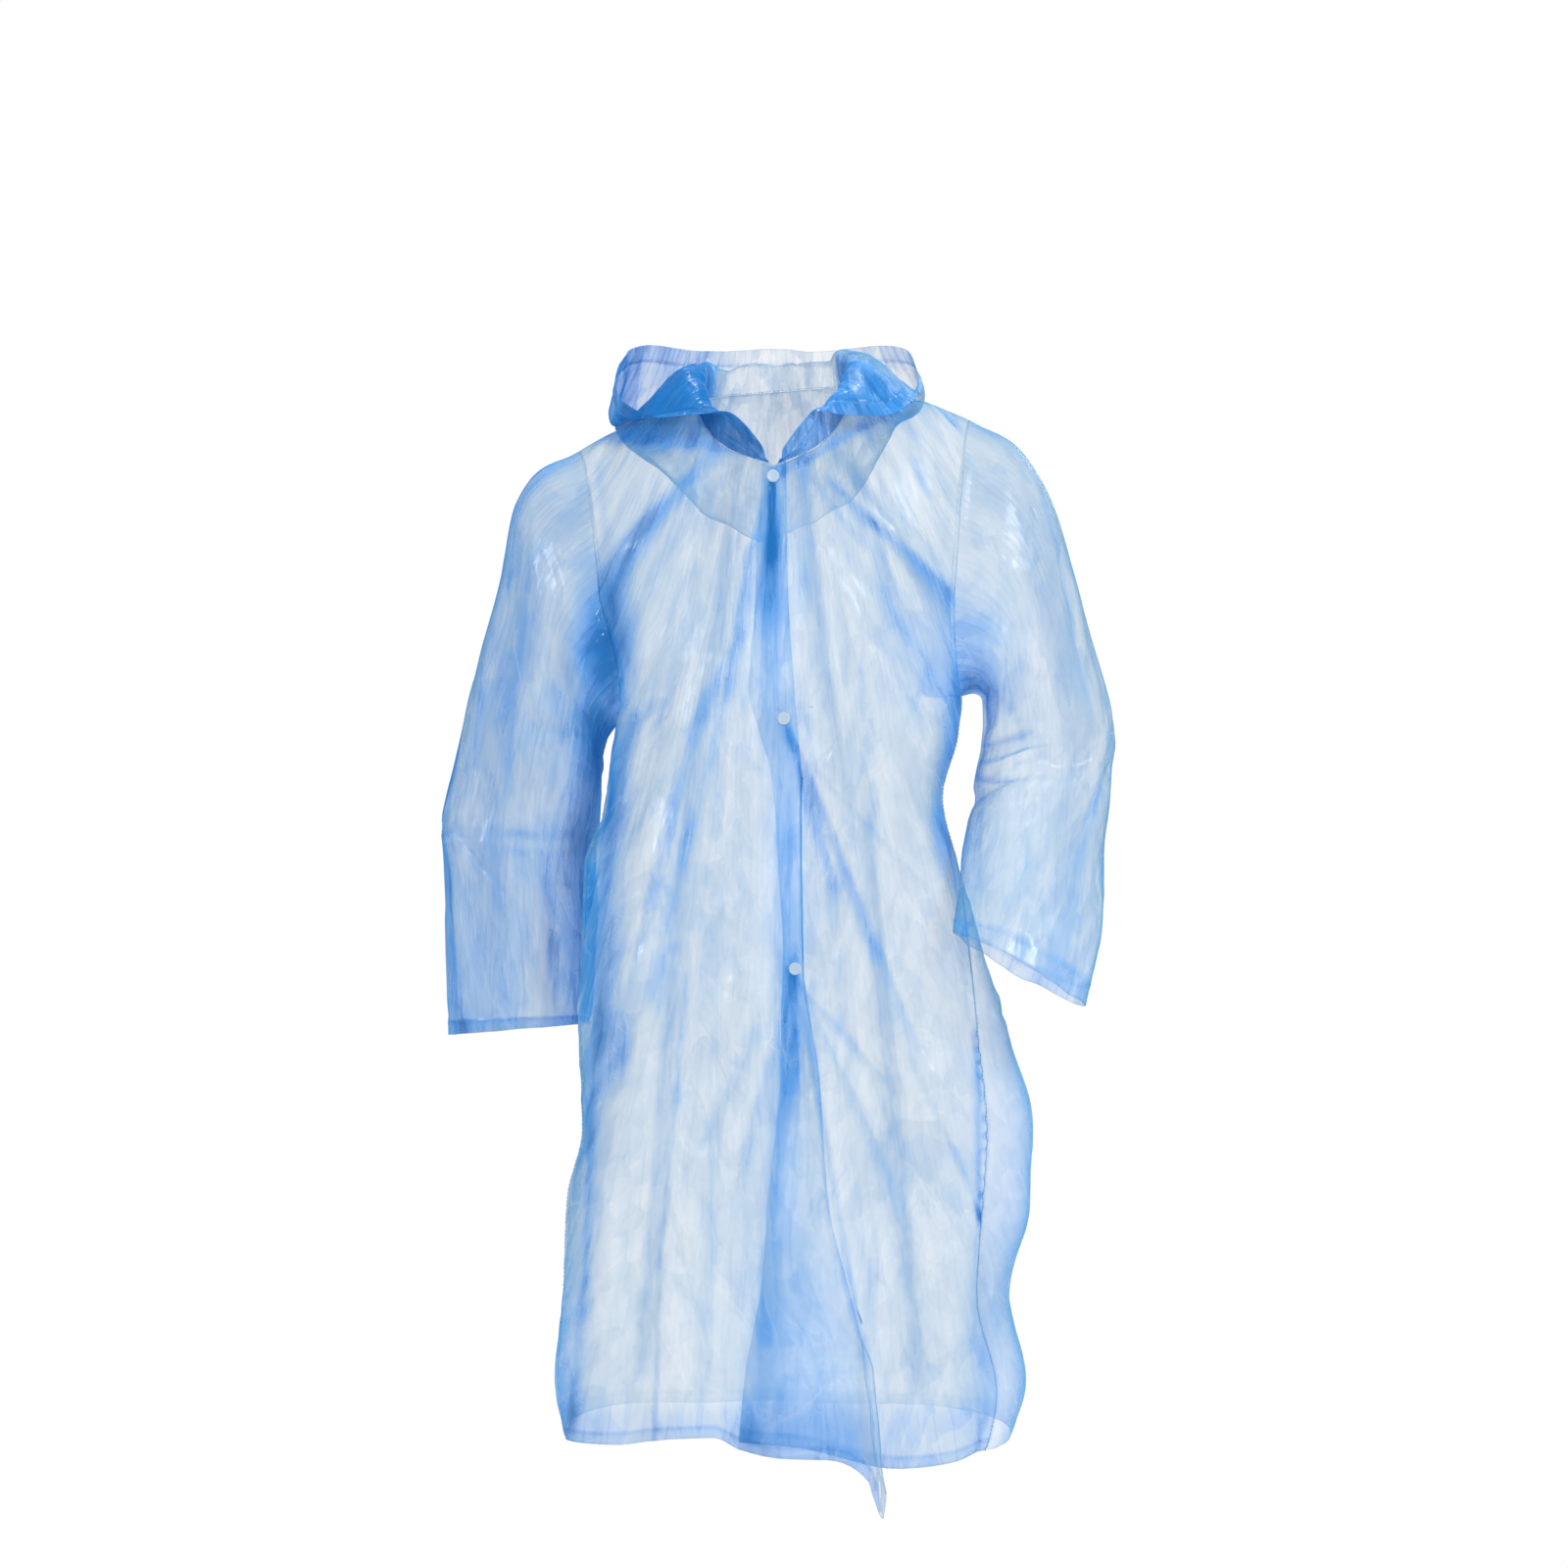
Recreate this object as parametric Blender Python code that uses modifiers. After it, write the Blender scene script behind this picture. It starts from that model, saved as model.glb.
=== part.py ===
"""Thin film raincoat with a hood, worn: open at neck, hem and cuffs, closed with three snaps.

Metres, +Z up, the front faces -Y. Right and left are the wearer's, so the right sleeve is
on the -X side. The origin is inside the coat, midway between the shoulders at neck level,
where the wearer carries it. Every panel is an open sheet of points on the coat's outer
surface, and Solidify gives it its wall on the inside.
"""

import math
from collections import namedtuple

import bpy
import numpy as np
from mathutils import Vector
from mathutils.bvhtree import BVHTree

NAME = "raincoat"

# Film and seams
WALL = 0.0010  # thickness of the film's wall
SEAM = 0.00045  # each piece stops this far short of its seam line, at its outer side
LAP = 0.0032  # clear space between the two fronts where they lap
LAP_FADE = (0.8, 0.45, 0.15)  # share of that depth in the left front's columns past the lap
TILT = 0.08  # rise towards the left shoulder, per metre across

# Grid of the panels
ROWS_YOKE = 6  # from the shoulder line down to the chest
ROWS_ARM = 6  # from the chest down to the armpit
ROWS_BODY = 17  # from the armpit down to the hem
FRONT_COLUMNS = 11  # from a side seam to the nearer free edge of a front
LAP_COLUMNS = 3  # across the lap of the fronts
BACK_COLUMNS = 12  # from the middle of the back to a side seam
NECK_COLUMNS = 5  # of those, the ones that end on the neckline
SLEEVE_RINGS = 20
HOOD_STEPS = 15  # along the hood's profile
HOOD_IN_LAP = 1  # columns of the lap that each end of the hood reaches into
EDGE_SEARCH = 0.8  # share of a half front within which its free edges lie
SEARCH_STEPS = 320
CURVE_STEPS = 240  # along a curve before its points are spaced evenly

# Levels, before the tilt
CHEST_Z = -0.150
ARMPIT_Z = -0.276
TILT_FADE_Z = -0.46  # the tilt has died away at this level
ARM_ANGLE = 62.0  # from the middle of a panel to the armhole's edge at the chest
BOXINESS = 0.85  # power of sine and cosine in a level section, 1 is an ellipse

# Neckline: angle from the front round to the back, about a point on the middle plane
Neck = namedtuple("Neck", "angle radius z")
NECK_Y = -0.015
NECKLINE = [
    Neck(0, 0.100, -0.032),
    Neck(30, 0.088, -0.012),
    Neck(60, 0.080, 0.015),
    Neck(90, 0.077, 0.040),
    Neck(120, 0.077, 0.050),
    Neck(150, 0.080, 0.054),
    Neck(180, 0.082, 0.055),
]
SHOULDER_TIP = (0.200, 0.000, 0.005)
SHOULDER_BOW = 0.008  # rise of the shoulder line over a straight one
NECK_SHARE = 0.36  # share of a half panel's columns' angle that ends on the neckline

# Level sections of the body: where its right and left sides, front and back lie, and the
# angle of each side seam from the middle of the front
Section = namedtuple("Section", "z right left front back seam_right seam_left")
BODY = [
    Section(-0.150, -0.196, 0.204, -0.118, 0.118, 90, 90),
    Section(-0.276, -0.160, 0.190, -0.136, 0.122, 90, 90),
    Section(-0.310, -0.165, 0.188, -0.138, 0.121, 89, 90),
    Section(-0.370, -0.171, 0.172, -0.140, 0.120, 88, 90),
    Section(-0.430, -0.190, 0.186, -0.141, 0.122, 86, 86),
    Section(-0.500, -0.193, 0.205, -0.143, 0.128, 86, 70),
    Section(-0.600, -0.197, 0.236, -0.148, 0.140, 86, 56),
    Section(-0.700, -0.196, 0.264, -0.152, 0.152, 84, 48),
    Section(-0.770, -0.212, 0.261, -0.154, 0.158, 82, 48),
    Section(-0.870, -0.217, 0.237, -0.157, 0.162, 80, 56),
    Section(-0.955, -0.222, 0.254, -0.158, 0.165, 80, 58),
    Section(-1.000, -0.216, 0.244, -0.156, 0.165, 80, 60),
    Section(-1.060, -0.196, 0.214, -0.152, 0.158, 80, 62),
]

# Free edges of the fronts, x down the coat
Edge = namedtuple("Edge", "z outer under")
FREE_EDGES = [
    Edge(-0.039, 0.012, -0.013),
    Edge(-0.156, 0.014, -0.017),
    Edge(-0.253, 0.020, -0.023),
    Edge(-0.350, 0.027, -0.002),
    Edge(-0.447, 0.028, 0.006),
    Edge(-0.534, 0.030, 0.010),
    Edge(-0.637, 0.045, 0.008),
    Edge(-0.768, 0.055, -0.008),
    Edge(-0.853, 0.080, -0.017),
    Edge(-0.898, 0.098, -0.025),
    Edge(-0.953, 0.103, -0.033),
    Edge(-1.065, 0.107, -0.041),
]

# Hems: z along each panel, from the right side seam (-1) to the left one (1)
Hem = namedtuple("Hem", "share z")
HEM_RIGHT_FRONT = [
    Hem(-1.00, -1.012),
    Hem(-0.60, -1.010),
    Hem(-0.42, -1.003),
    Hem(-0.19, -0.997),
    Hem(-0.12, -1.010),
    Hem(0.00, -1.018),
    Hem(0.12, -1.019),
    Hem(0.33, -1.046),
    Hem(0.43, -1.094),
]
HEM_LEFT_FRONT = [
    Hem(-0.20, -1.002),
    Hem(0.00, -1.006),
    Hem(0.18, -1.018),
    Hem(0.42, -1.030),
    Hem(0.73, -1.026),
    Hem(1.00, -1.018),
]
HEM_BACK = [
    Hem(-1.00, -1.012),
    Hem(-0.40, -1.000),
    Hem(0.40, -1.004),
    Hem(1.00, -1.018),
]

# Large folds of the panels, as lines in the plane of the front: a positive height stands out
Fold = namedtuple("Fold", "x0 z0 x1 z1 width0 width1 height")
FOLD_CENTRE = 0.5  # folds stand out from a point this share of the way to a row's middle
FOLD_POWER = 6  # how late towards a side seam the folds die away
FRONT_FOLDS = [
    Fold(-0.060, 0.000, -0.176, -0.150, 0.014, 0.022, 0.007),
    Fold(-0.045, -0.060, -0.150, -0.235, 0.016, 0.022, -0.006),
    Fold(0.056, -0.030, 0.178, -0.165, 0.012, 0.020, 0.007),
    Fold(0.040, -0.080, 0.165, -0.240, 0.014, 0.024, -0.006),
    Fold(-0.012, -0.060, -0.100, -0.420, 0.018, 0.034, 0.009),
    Fold(-0.086, -0.360, -0.164, -0.700, 0.030, 0.044, 0.010),
    Fold(-0.030, -0.300, -0.062, -0.620, 0.020, 0.030, -0.007),
    Fold(0.046, -0.330, 0.140, -0.640, 0.018, 0.034, 0.009),
    Fold(0.055, -0.545, 0.118, -0.930, 0.020, 0.036, -0.009),
    Fold(-0.020, -0.560, -0.088, -0.980, 0.020, 0.040, 0.011),
    Fold(-0.030, -0.740, -0.034, -1.060, 0.020, 0.034, -0.010),
    Fold(0.150, -0.640, 0.168, -1.060, 0.024, 0.036, 0.011),
    Fold(-0.150, -0.780, -0.150, -1.040, 0.022, 0.034, -0.010),
]
BACK_FOLDS = [
    Fold(0.020, -0.060, 0.070, -0.520, 0.022, 0.034, 0.008),
    Fold(-0.030, -0.100, -0.066, -0.560, 0.020, 0.034, -0.008),
    Fold(-0.080, -0.030, -0.150, -0.210, 0.016, 0.026, 0.007),
    Fold(0.084, -0.040, 0.160, -0.220, 0.016, 0.026, 0.007),
    Fold(-0.086, -0.360, -0.140, -1.010, 0.026, 0.044, 0.012),
    Fold(0.006, -0.420, -0.010, -1.020, 0.026, 0.042, 0.011),
    Fold(0.100, -0.400, 0.150, -1.010, 0.026, 0.044, 0.012),
    Fold(-0.050, -0.560, -0.078, -1.020, 0.022, 0.036, -0.011),
    Fold(0.050, -0.560, 0.078, -1.020, 0.022, 0.036, -0.011),
]

# Sleeve rings from armhole to cuff: the over-arm point and the under-arm point, the middle's
# y, half the depth from front to back, and how far the front leans up, in degrees
Ring = namedtuple("Ring", "over_x over_z under_x under_z y depth lean")
RIGHT_SLEEVE = [
    Ring(-0.200, -0.011, -0.160, -0.289, 0.000, 0.062, 0),
    Ring(-0.240, -0.029, -0.171, -0.306, 0.003, 0.062, 0),
    Ring(-0.266, -0.066, -0.176, -0.322, 0.010, 0.061, 0),
    Ring(-0.282, -0.140, -0.177, -0.345, 0.022, 0.060, 0),
    Ring(-0.300, -0.205, -0.178, -0.370, 0.036, 0.060, 0),
    Ring(-0.317, -0.275, -0.180, -0.400, 0.048, 0.060, 0),
    Ring(-0.340, -0.384, -0.184, -0.455, 0.058, 0.060, 0),
    Ring(-0.338, -0.440, -0.186, -0.495, 0.060, 0.060, 0),
    Ring(-0.337, -0.555, -0.188, -0.565, 0.060, 0.060, 2),
    Ring(-0.336, -0.609, -0.190, -0.597, 0.060, 0.060, 3),
]
LEFT_SLEEVE = [
    Ring(0.200, 0.021, 0.190, -0.261, 0.000, 0.062, 0),
    Ring(0.246, -0.004, 0.203, -0.258, 0.000, 0.064, 0),
    Ring(0.281, -0.056, 0.212, -0.264, 0.002, 0.064, 0),
    Ring(0.307, -0.133, 0.213, -0.288, 0.005, 0.062, 0),
    Ring(0.324, -0.195, 0.211, -0.312, 0.006, 0.060, 2),
    Ring(0.348, -0.283, 0.205, -0.342, 0.000, 0.058, 8),
    Ring(0.351, -0.325, 0.202, -0.368, -0.012, 0.058, 16),
    Ring(0.343, -0.372, 0.196, -0.398, -0.034, 0.058, 24),
    Ring(0.333, -0.429, 0.190, -0.428, -0.064, 0.057, 26),
    Ring(0.325, -0.496, 0.185, -0.460, -0.102, 0.054, 20),
    Ring(0.307, -0.570, 0.178, -0.498, -0.140, 0.050, 8),
]
ARMHOLE_FADE = 6  # rings over which the armhole's outline turns into the sleeve's own
FOLD_FADE = 4  # rings over which the sleeve's folds begin
# Large folds of a sleeve, as lines over it: share of its length, and angle from the over-arm
SleeveFold = namedtuple("SleeveFold", "at0 angle0 at1 angle1 width height")
SLEEVE_FOLDS = [
    SleeveFold(0.10, 60, 0.42, 120, 0.030, -0.006),
    SleeveFold(0.12, 95, 0.50, 75, 0.030, 0.006),
    SleeveFold(0.30, 35, 0.80, 60, 0.030, -0.005),
    SleeveFold(0.62, 20, 0.60, 160, 0.022, -0.006),
    SleeveFold(0.55, 110, 0.95, 95, 0.032, 0.006),
    SleeveFold(0.15, -70, 0.85, -60, 0.034, 0.006),
    SleeveFold(0.20, -120, 0.90, -110, 0.034, -0.006),
    SleeveFold(0.62, -20, 0.60, -160, 0.022, -0.006),
]

# Hood profile from neckline to face edge, by angle from the back round to the front: it
# stands up the neck, turns over, drops into its pouch and rises to the face edge
Hood = namedtuple(
    "Hood", "angle stand_r stand_z over_r over_z low_r low_z bag_r bag_z rim_r rim_z"
)
HOOD = [
    Hood(0, 0.084, 0.084, 0.106, 0.066, 0.138, -0.100, 0.196, -0.020, 0.128, 0.104),
    Hood(30, 0.082, 0.085, 0.104, 0.070, 0.134, -0.070, 0.188, 0.000, 0.130, 0.100),
    Hood(60, 0.078, 0.086, 0.102, 0.076, 0.130, 0.014, 0.172, 0.024, 0.144, 0.104),
    Hood(90, 0.074, 0.082, 0.100, 0.076, 0.132, 0.042, 0.158, 0.030, 0.154, 0.068),
    Hood(110, 0.076, 0.064, 0.092, 0.072, 0.116, 0.054, 0.142, 0.030, 0.154, 0.032),
    Hood(130, 0.080, 0.030, 0.085, 0.045, 0.098, 0.044, 0.114, 0.028, 0.124, 0.016),
    Hood(150, 0.087, 0.000, 0.088, 0.010, 0.090, 0.018, 0.095, 0.024, 0.100, 0.024),
    Hood(178, 0.101, -0.029, 0.1015, -0.027, 0.102, -0.025, 0.1025, -0.023, 0.103, -0.020),
]
HOOD_X = -0.010  # the pouch has slipped this far towards the right shoulder
HOOD_CLEAR = 0.009  # between the hood's cavity side and the coat under it
HOOD_RISE = 3  # steps from the seam over which that space opens
HOOD_REACH = 0.08  # a coat surface farther off than this leaves the hood alone
HOOD_WAVES = 9  # gathers round the pouch
HOOD_WAVE = 0.003

# Snaps
Snap = namedtuple("Snap", "name x z")
SNAPS = [
    Snap("neck", -0.001, -0.043),
    Snap("chest", 0.010, -0.285),
    Snap("waist", 0.021, -0.533),
]
SNAP_SEAT = 0.0003
CAP_RADIUS = 0.0062
CAP_HEIGHT = 0.0016
SOCKET_RADIUS = 0.0045
SOCKET_HEIGHT = 0.0022
BACK_HEIGHT = 0.0010
SNAP_STEPS = 20
PROBES = 12  # rays round a snap that find how the film bends under it
PROBE_REACH = 0.02
# Profile of every snap half, from the middle of its face to its seat, in shares of its size
Turned = namedtuple("Turned", "radius height")
BUTTON = [
    Turned(0.00, 1.00),
    Turned(0.45, 0.95),
    Turned(0.80, 0.78),
    Turned(1.00, 0.40),
    Turned(1.00, 0.00),
    Turned(0.00, 0.00),
]

# Finishes: colour, roughness, alpha
Finish = namedtuple("Finish", "color roughness alpha")
FILM = Finish((0.24, 0.52, 0.90), 0.22, 0.45)
SNAP_PLASTIC = Finish((0.85, 0.92, 0.97), 0.35, 0.90)


def clear_scene():
    """Removes every object of the scene."""
    for old in list(bpy.data.objects):
        bpy.data.objects.remove(old, do_unlink=True)


def make_material(name, finish):
    """A Principled material with the finish's colour, roughness and alpha."""
    material = bpy.data.materials.new(name)
    material.use_nodes = True
    shader = material.node_tree.nodes["Principled BSDF"]
    shader.inputs["Base Color"].default_value = (*finish.color, 1.0)
    shader.inputs["Roughness"].default_value = finish.roughness
    shader.inputs["Metallic"].default_value = 0.0
    shader.inputs["Alpha"].default_value = finish.alpha
    return material


# Reading the tables


def smooth(at, knots, values):
    """Monotone cubic through the knots, which rise. Past either end it holds the end value."""
    knots = np.asarray(knots, float)
    values = np.asarray(values, float)
    steps = np.diff(knots)
    slopes = np.diff(values) / steps
    tangents = np.zeros_like(values)
    tangents[0] = slopes[0]
    tangents[-1] = slopes[-1]
    before, after = slopes[:-1], slopes[1:]
    turning = before * after <= 0
    mean = 2 * before * after / np.where(turning, 1, before + after)
    tangents[1:-1] = np.where(turning, 0, mean)
    at = np.clip(np.asarray(at, float), knots[0], knots[-1])
    i = np.clip(np.searchsorted(knots, at, side="right") - 1, 0, len(steps) - 1)
    t = (at - knots[i]) / steps[i]
    start = (1 + 2 * t) * (1 - t) ** 2 * values[i] + t * (1 - t) ** 2 * steps[i] * tangents[i]
    end = t * t * (3 - 2 * t) * values[i + 1] - t * t * (1 - t) * steps[i] * tangents[i + 1]
    return start + end


def read(table, key, field, at):
    """The field of a table at some values of its key, in whichever order its rows run."""
    rows = sorted(table, key=lambda row: getattr(row, key))
    knots = [getattr(row, key) for row in rows]
    return smooth(at, knots, [getattr(row, field) for row in rows])


def signed_power(value, power):
    """A power that keeps the value's sign."""
    return np.sign(value) * np.abs(value) ** power


def tilt_at(x, z):
    """How far the tilt lifts a point at x on the level z."""
    share = np.clip((z - TILT_FADE_Z) / (ARMPIT_Z - TILT_FADE_Z), 0, 1)
    return TILT * x * share


def unit(vectors):
    """The vectors, each brought to length 1."""
    return vectors / np.linalg.norm(vectors, axis=-1, keepdims=True)


# The coat's outer surface


def section_point(angle, z):
    """Points at angles (degrees, 0 front, 90 left side, 180 back) on the body's sections."""
    right = read(BODY, "z", "right", z)
    left = read(BODY, "z", "left", z)
    front = read(BODY, "z", "front", z)
    back = read(BODY, "z", "back", z)
    turn = np.radians(angle)
    x = (left + right) / 2 + (left - right) / 2 * signed_power(np.sin(turn), BOXINESS)
    ahead = signed_power(np.cos(turn), BOXINESS)
    y = np.where(ahead > 0, front * ahead, -back * ahead)
    return x, y, z + tilt_at(x, z)


def neck_point(angle):
    """Points of the neckline at angles from the front, positive to the left."""
    turn = np.radians(angle)
    radius = read(NECKLINE, "angle", "radius", np.abs(angle))
    x = radius * np.sin(turn)
    y = NECK_Y - radius * np.cos(turn)
    z = read(NECKLINE, "angle", "z", np.abs(angle))
    return x, y, z + tilt_at(x, z)


def top_point(share, facing):
    """Points of a panel's upper edge: its neckline, then its shoulder line to the tip."""
    side = np.sign(share)
    across = np.abs(share)
    neck_turn = 90 * np.clip(across / NECK_SHARE, 0, 1)
    neck_turn = neck_turn if facing == "front" else 180 - neck_turn
    nx, ny, nz = neck_point(neck_turn * np.where(side == 0, 1, side))
    out = np.clip((across - NECK_SHARE) / (1 - NECK_SHARE), 0, 1)
    tip_x, tip_y, tip_z = SHOULDER_TIP
    tip_x = tip_x * side
    tip_z = tip_z + tilt_at(tip_x, tip_z)
    bow = SHOULDER_BOW * 4 * out * (1 - out)
    return nx + (tip_x - nx) * out, ny + (tip_y - ny) * out, nz + (tip_z - nz) * out + bow


def yoke_point(share, drop, facing):
    """Points between the upper edge (drop 0) and the chest line (drop 1), over the shoulder."""
    angle = ARM_ANGLE * share if facing == "front" else 180 - ARM_ANGLE * share
    tx, ty, tz = top_point(share, facing)
    cx, cy, cz = section_point(angle, np.full_like(share, CHEST_Z))
    turn = drop * math.pi / 2
    outward = math.sin(turn)
    downward = 1 - math.cos(turn)
    return tx + (cx - tx) * drop, ty + (cy - ty) * outward, tz + (cz - tz) * downward


def seam_angle(z, side, facing):
    """Angle from the panel's own middle to its armhole or side seam at the level z."""
    field = "seam_left" if side > 0 else "seam_right"
    at_side = float(read(BODY, "z", field, z))
    if facing == "back":
        at_side = 180 - at_side
    if z <= ARMPIT_Z:
        return at_side
    depth = (z - CHEST_Z) / (ARMPIT_Z - CHEST_Z)
    return ARM_ANGLE + (at_side - ARM_ANGLE) * (1 - math.sqrt(1 - depth * depth))


def body_row(share, level, hang, facing):
    """Points of a row below the chest, on the levels given, between its two side seams."""
    right_end = seam_angle(seam_level(HEM_BACK[0].z, hang), -1, facing)
    left_end = seam_angle(seam_level(HEM_BACK[-1].z, hang), 1, facing)
    angle = share * np.where(share < 0, right_end, left_end)
    angle = angle if facing == "front" else 180 - angle
    return section_point(angle, level)


def seam_level(bottom, hang):
    """Level of a side point: hang runs -1 at the chest, 0 at the armpit, 1 at the bottom."""
    if hang < 0:
        return CHEST_Z + (ARMPIT_Z - CHEST_Z) * math.sin((1 + hang) * math.pi / 2)
    return ARMPIT_Z + (bottom - ARMPIT_Z) * hang


def row_points(row, share, hem, facing):
    """Points of one row of a panel, counted from its upper edge."""
    if row <= ROWS_YOKE:
        found = yoke_point(share, row / ROWS_YOKE, facing)
    elif row <= ROWS_YOKE + ROWS_ARM:
        hang = (row - ROWS_YOKE) / ROWS_ARM - 1
        found = body_row(share, np.full_like(share, seam_level(0, hang)), hang, facing)
    else:
        hang = (row - ROWS_YOKE - ROWS_ARM) / ROWS_BODY
        bottom = smooth(share, [knot.share for knot in hem], [knot.z for knot in hem])
        found = body_row(share, ARMPIT_Z + (bottom - ARMPIT_Z) * hang, hang, facing)
    return np.stack(found, axis=-1)


def edge_shares(row, hem):
    """Shares at which the under and the outer free edge cross a row of the front."""
    share = np.linspace(-EDGE_SEARCH, EDGE_SEARCH, SEARCH_STEPS + 1)
    points = row_points(row, share, hem, "front")
    level = points[len(share) // 2, 2]
    under = np.interp(read(FREE_EDGES, "z", "under", level), points[:, 0], share)
    outer = np.interp(read(FREE_EDGES, "z", "outer", level), points[:, 0], share)
    return float(under), float(outer)


def spread(knots, counts):
    """Values that pass through the knots, with a count of steps between each two."""
    parts = [
        np.linspace(start, end, count, endpoint=False)
        for start, end, count in zip(knots[:-1], knots[1:], counts)
    ]
    return np.append(np.concatenate(parts), knots[-1])


def front_grid(hem):
    """The whole front: right seam, under edge, outer edge, left seam, with this hem."""
    shoulder_columns = FRONT_COLUMNS - NECK_COLUMNS
    counts = [shoulder_columns, NECK_COLUMNS, LAP_COLUMNS, NECK_COLUMNS, shoulder_columns]
    under_top, outer_top = edge_shares(0, hem)
    right_part = (under_top + NECK_SHARE) / (under_top + 1)
    left_part = (NECK_SHARE - outer_top) / (1 - outer_top)
    rows = []
    for row in range(ROWS_YOKE + ROWS_ARM + ROWS_BODY + 1):
        under, outer = edge_shares(row, hem)
        right_knot = under - (under + 1) * right_part
        left_knot = outer + (1 - outer) * left_part
        share = spread([-1, right_knot, under, outer, left_knot, 1], counts)
        rows.append(fold_row(row, share, row_points(row, share, hem, "front"), FRONT_FOLDS))
    return np.array(rows)


def back_grid():
    """The back from the right seam to the left one."""
    shoulder_columns = BACK_COLUMNS - NECK_COLUMNS
    counts = [shoulder_columns, NECK_COLUMNS, NECK_COLUMNS, shoulder_columns]
    share = spread([-1, -NECK_SHARE, 0, NECK_SHARE, 1], counts)
    rows = []
    for row in range(ROWS_YOKE + ROWS_ARM + ROWS_BODY + 1):
        rows.append(fold_row(row, share, row_points(row, share, HEM_BACK, "back"), BACK_FOLDS))
    return np.array(rows)


# Folds


def ridge(across, along, folds):
    """Sum of the folds' heights at points in the plane where their lines are drawn."""
    total = np.zeros_like(across)
    for fold in folds:
        start = np.array([fold[0], fold[1]])
        run = np.array([fold[2], fold[3]]) - start
        offset = np.stack([across, along], axis=-1) - start
        t = np.clip(offset @ run / (run @ run), 0, 1)
        distance = np.linalg.norm(offset - t[..., None] * run, axis=-1)
        width = fold.width0 + (fold.width1 - fold.width0) * t
        total += fold.height * np.exp(-((distance / width) ** 2))
    return total


def fold_row(row, share, points, folds):
    """Moves a row's points out or in by the folds, which die away at seams and shoulder."""
    middle = points[len(points) // 2]
    outward = points - [middle[0] * FOLD_CENTRE, 0.0, 0.0]
    outward[:, 2] = 0.0
    fade = min(row / ROWS_YOKE, 1) * (1 - np.abs(share) ** FOLD_POWER)
    height = ridge(points[:, 0], points[:, 2], folds) * fade
    return points + unit(outward) * height[:, None]


def grid_normals(grid, flip=False):
    """Unit normals of a grid's points, on the side where the wearer isn't."""
    down = np.gradient(grid, axis=0)
    across = np.gradient(grid, axis=1)
    normals = unit(np.cross(down, across))
    return -normals if flip else normals


# Sleeves


def armhole_loop(front, back, column):
    """The armhole's points: shoulder tip, down its front edge, armpit, up its back edge."""
    last = ROWS_YOKE + ROWS_ARM
    down = front[: last + 1, column]
    up = back[1:last, column][::-1]
    return np.concatenate([down, up])


def ellipse_ring(table, at, turn):
    """One ring of a sleeve's table, which is read at a share of its length."""
    knots = np.linspace(0, 1, len(table))
    value = {
        field: float(smooth(at, knots, [getattr(row, field) for row in table]))
        for field in Ring._fields
    }
    over = np.array([value["over_x"], value["y"], value["over_z"]])
    under = np.array([value["under_x"], value["y"], value["under_z"]])
    lean = math.radians(value["lean"])
    ahead = value["depth"] * np.array([0.0, -math.cos(lean), math.sin(lean)])
    half = (over - under) / 2
    centre = (over + under) / 2
    return centre + np.cos(turn)[:, None] * half + np.sin(turn)[:, None] * ahead


def sleeve_grid(table, loop, flip):
    """Rings of a sleeve from its armhole's loop of points to the cuff."""
    turn = np.arange(len(loop)) / len(loop) * 2 * math.pi
    stray = loop - ellipse_ring(table, 0.0, turn)
    rings = []
    for i in range(SLEEVE_RINGS + 1):
        keep = max(0.0, 1 - i / ARMHOLE_FADE) ** 2
        rings.append(ellipse_ring(table, i / SLEEVE_RINGS, turn) + stray * keep)
    grid = np.array(rings)
    closed = np.concatenate([grid, grid[:, :1]], axis=1)
    normals = grid_normals(closed, flip)[:, :-1]
    length = np.linalg.norm(np.diff(grid.mean(axis=1), axis=0), axis=1).sum()
    radius = np.linalg.norm(grid[-1] - grid[-1].mean(axis=0), axis=1).mean()
    along = np.repeat(np.linspace(0, length, SLEEVE_RINGS + 1)[:, None], len(loop), axis=1)
    signed = np.where(turn > math.pi, turn - 2 * math.pi, turn)
    around = np.repeat(signed[None] * radius, SLEEVE_RINGS + 1, axis=0)
    folds = [
        Fold(
            math.radians(fold.angle0) * radius,
            fold.at0 * length,
            math.radians(fold.angle1) * radius,
            fold.at1 * length,
            fold.width,
            fold.width,
            fold.height,
        )
        for fold in SLEEVE_FOLDS
    ]
    fade = np.clip(np.arange(SLEEVE_RINGS + 1) / FOLD_FADE, 0, 1)[:, None]
    return grid + normals * (ridge(around, along, folds) * fade)[..., None]


# Hood


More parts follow.
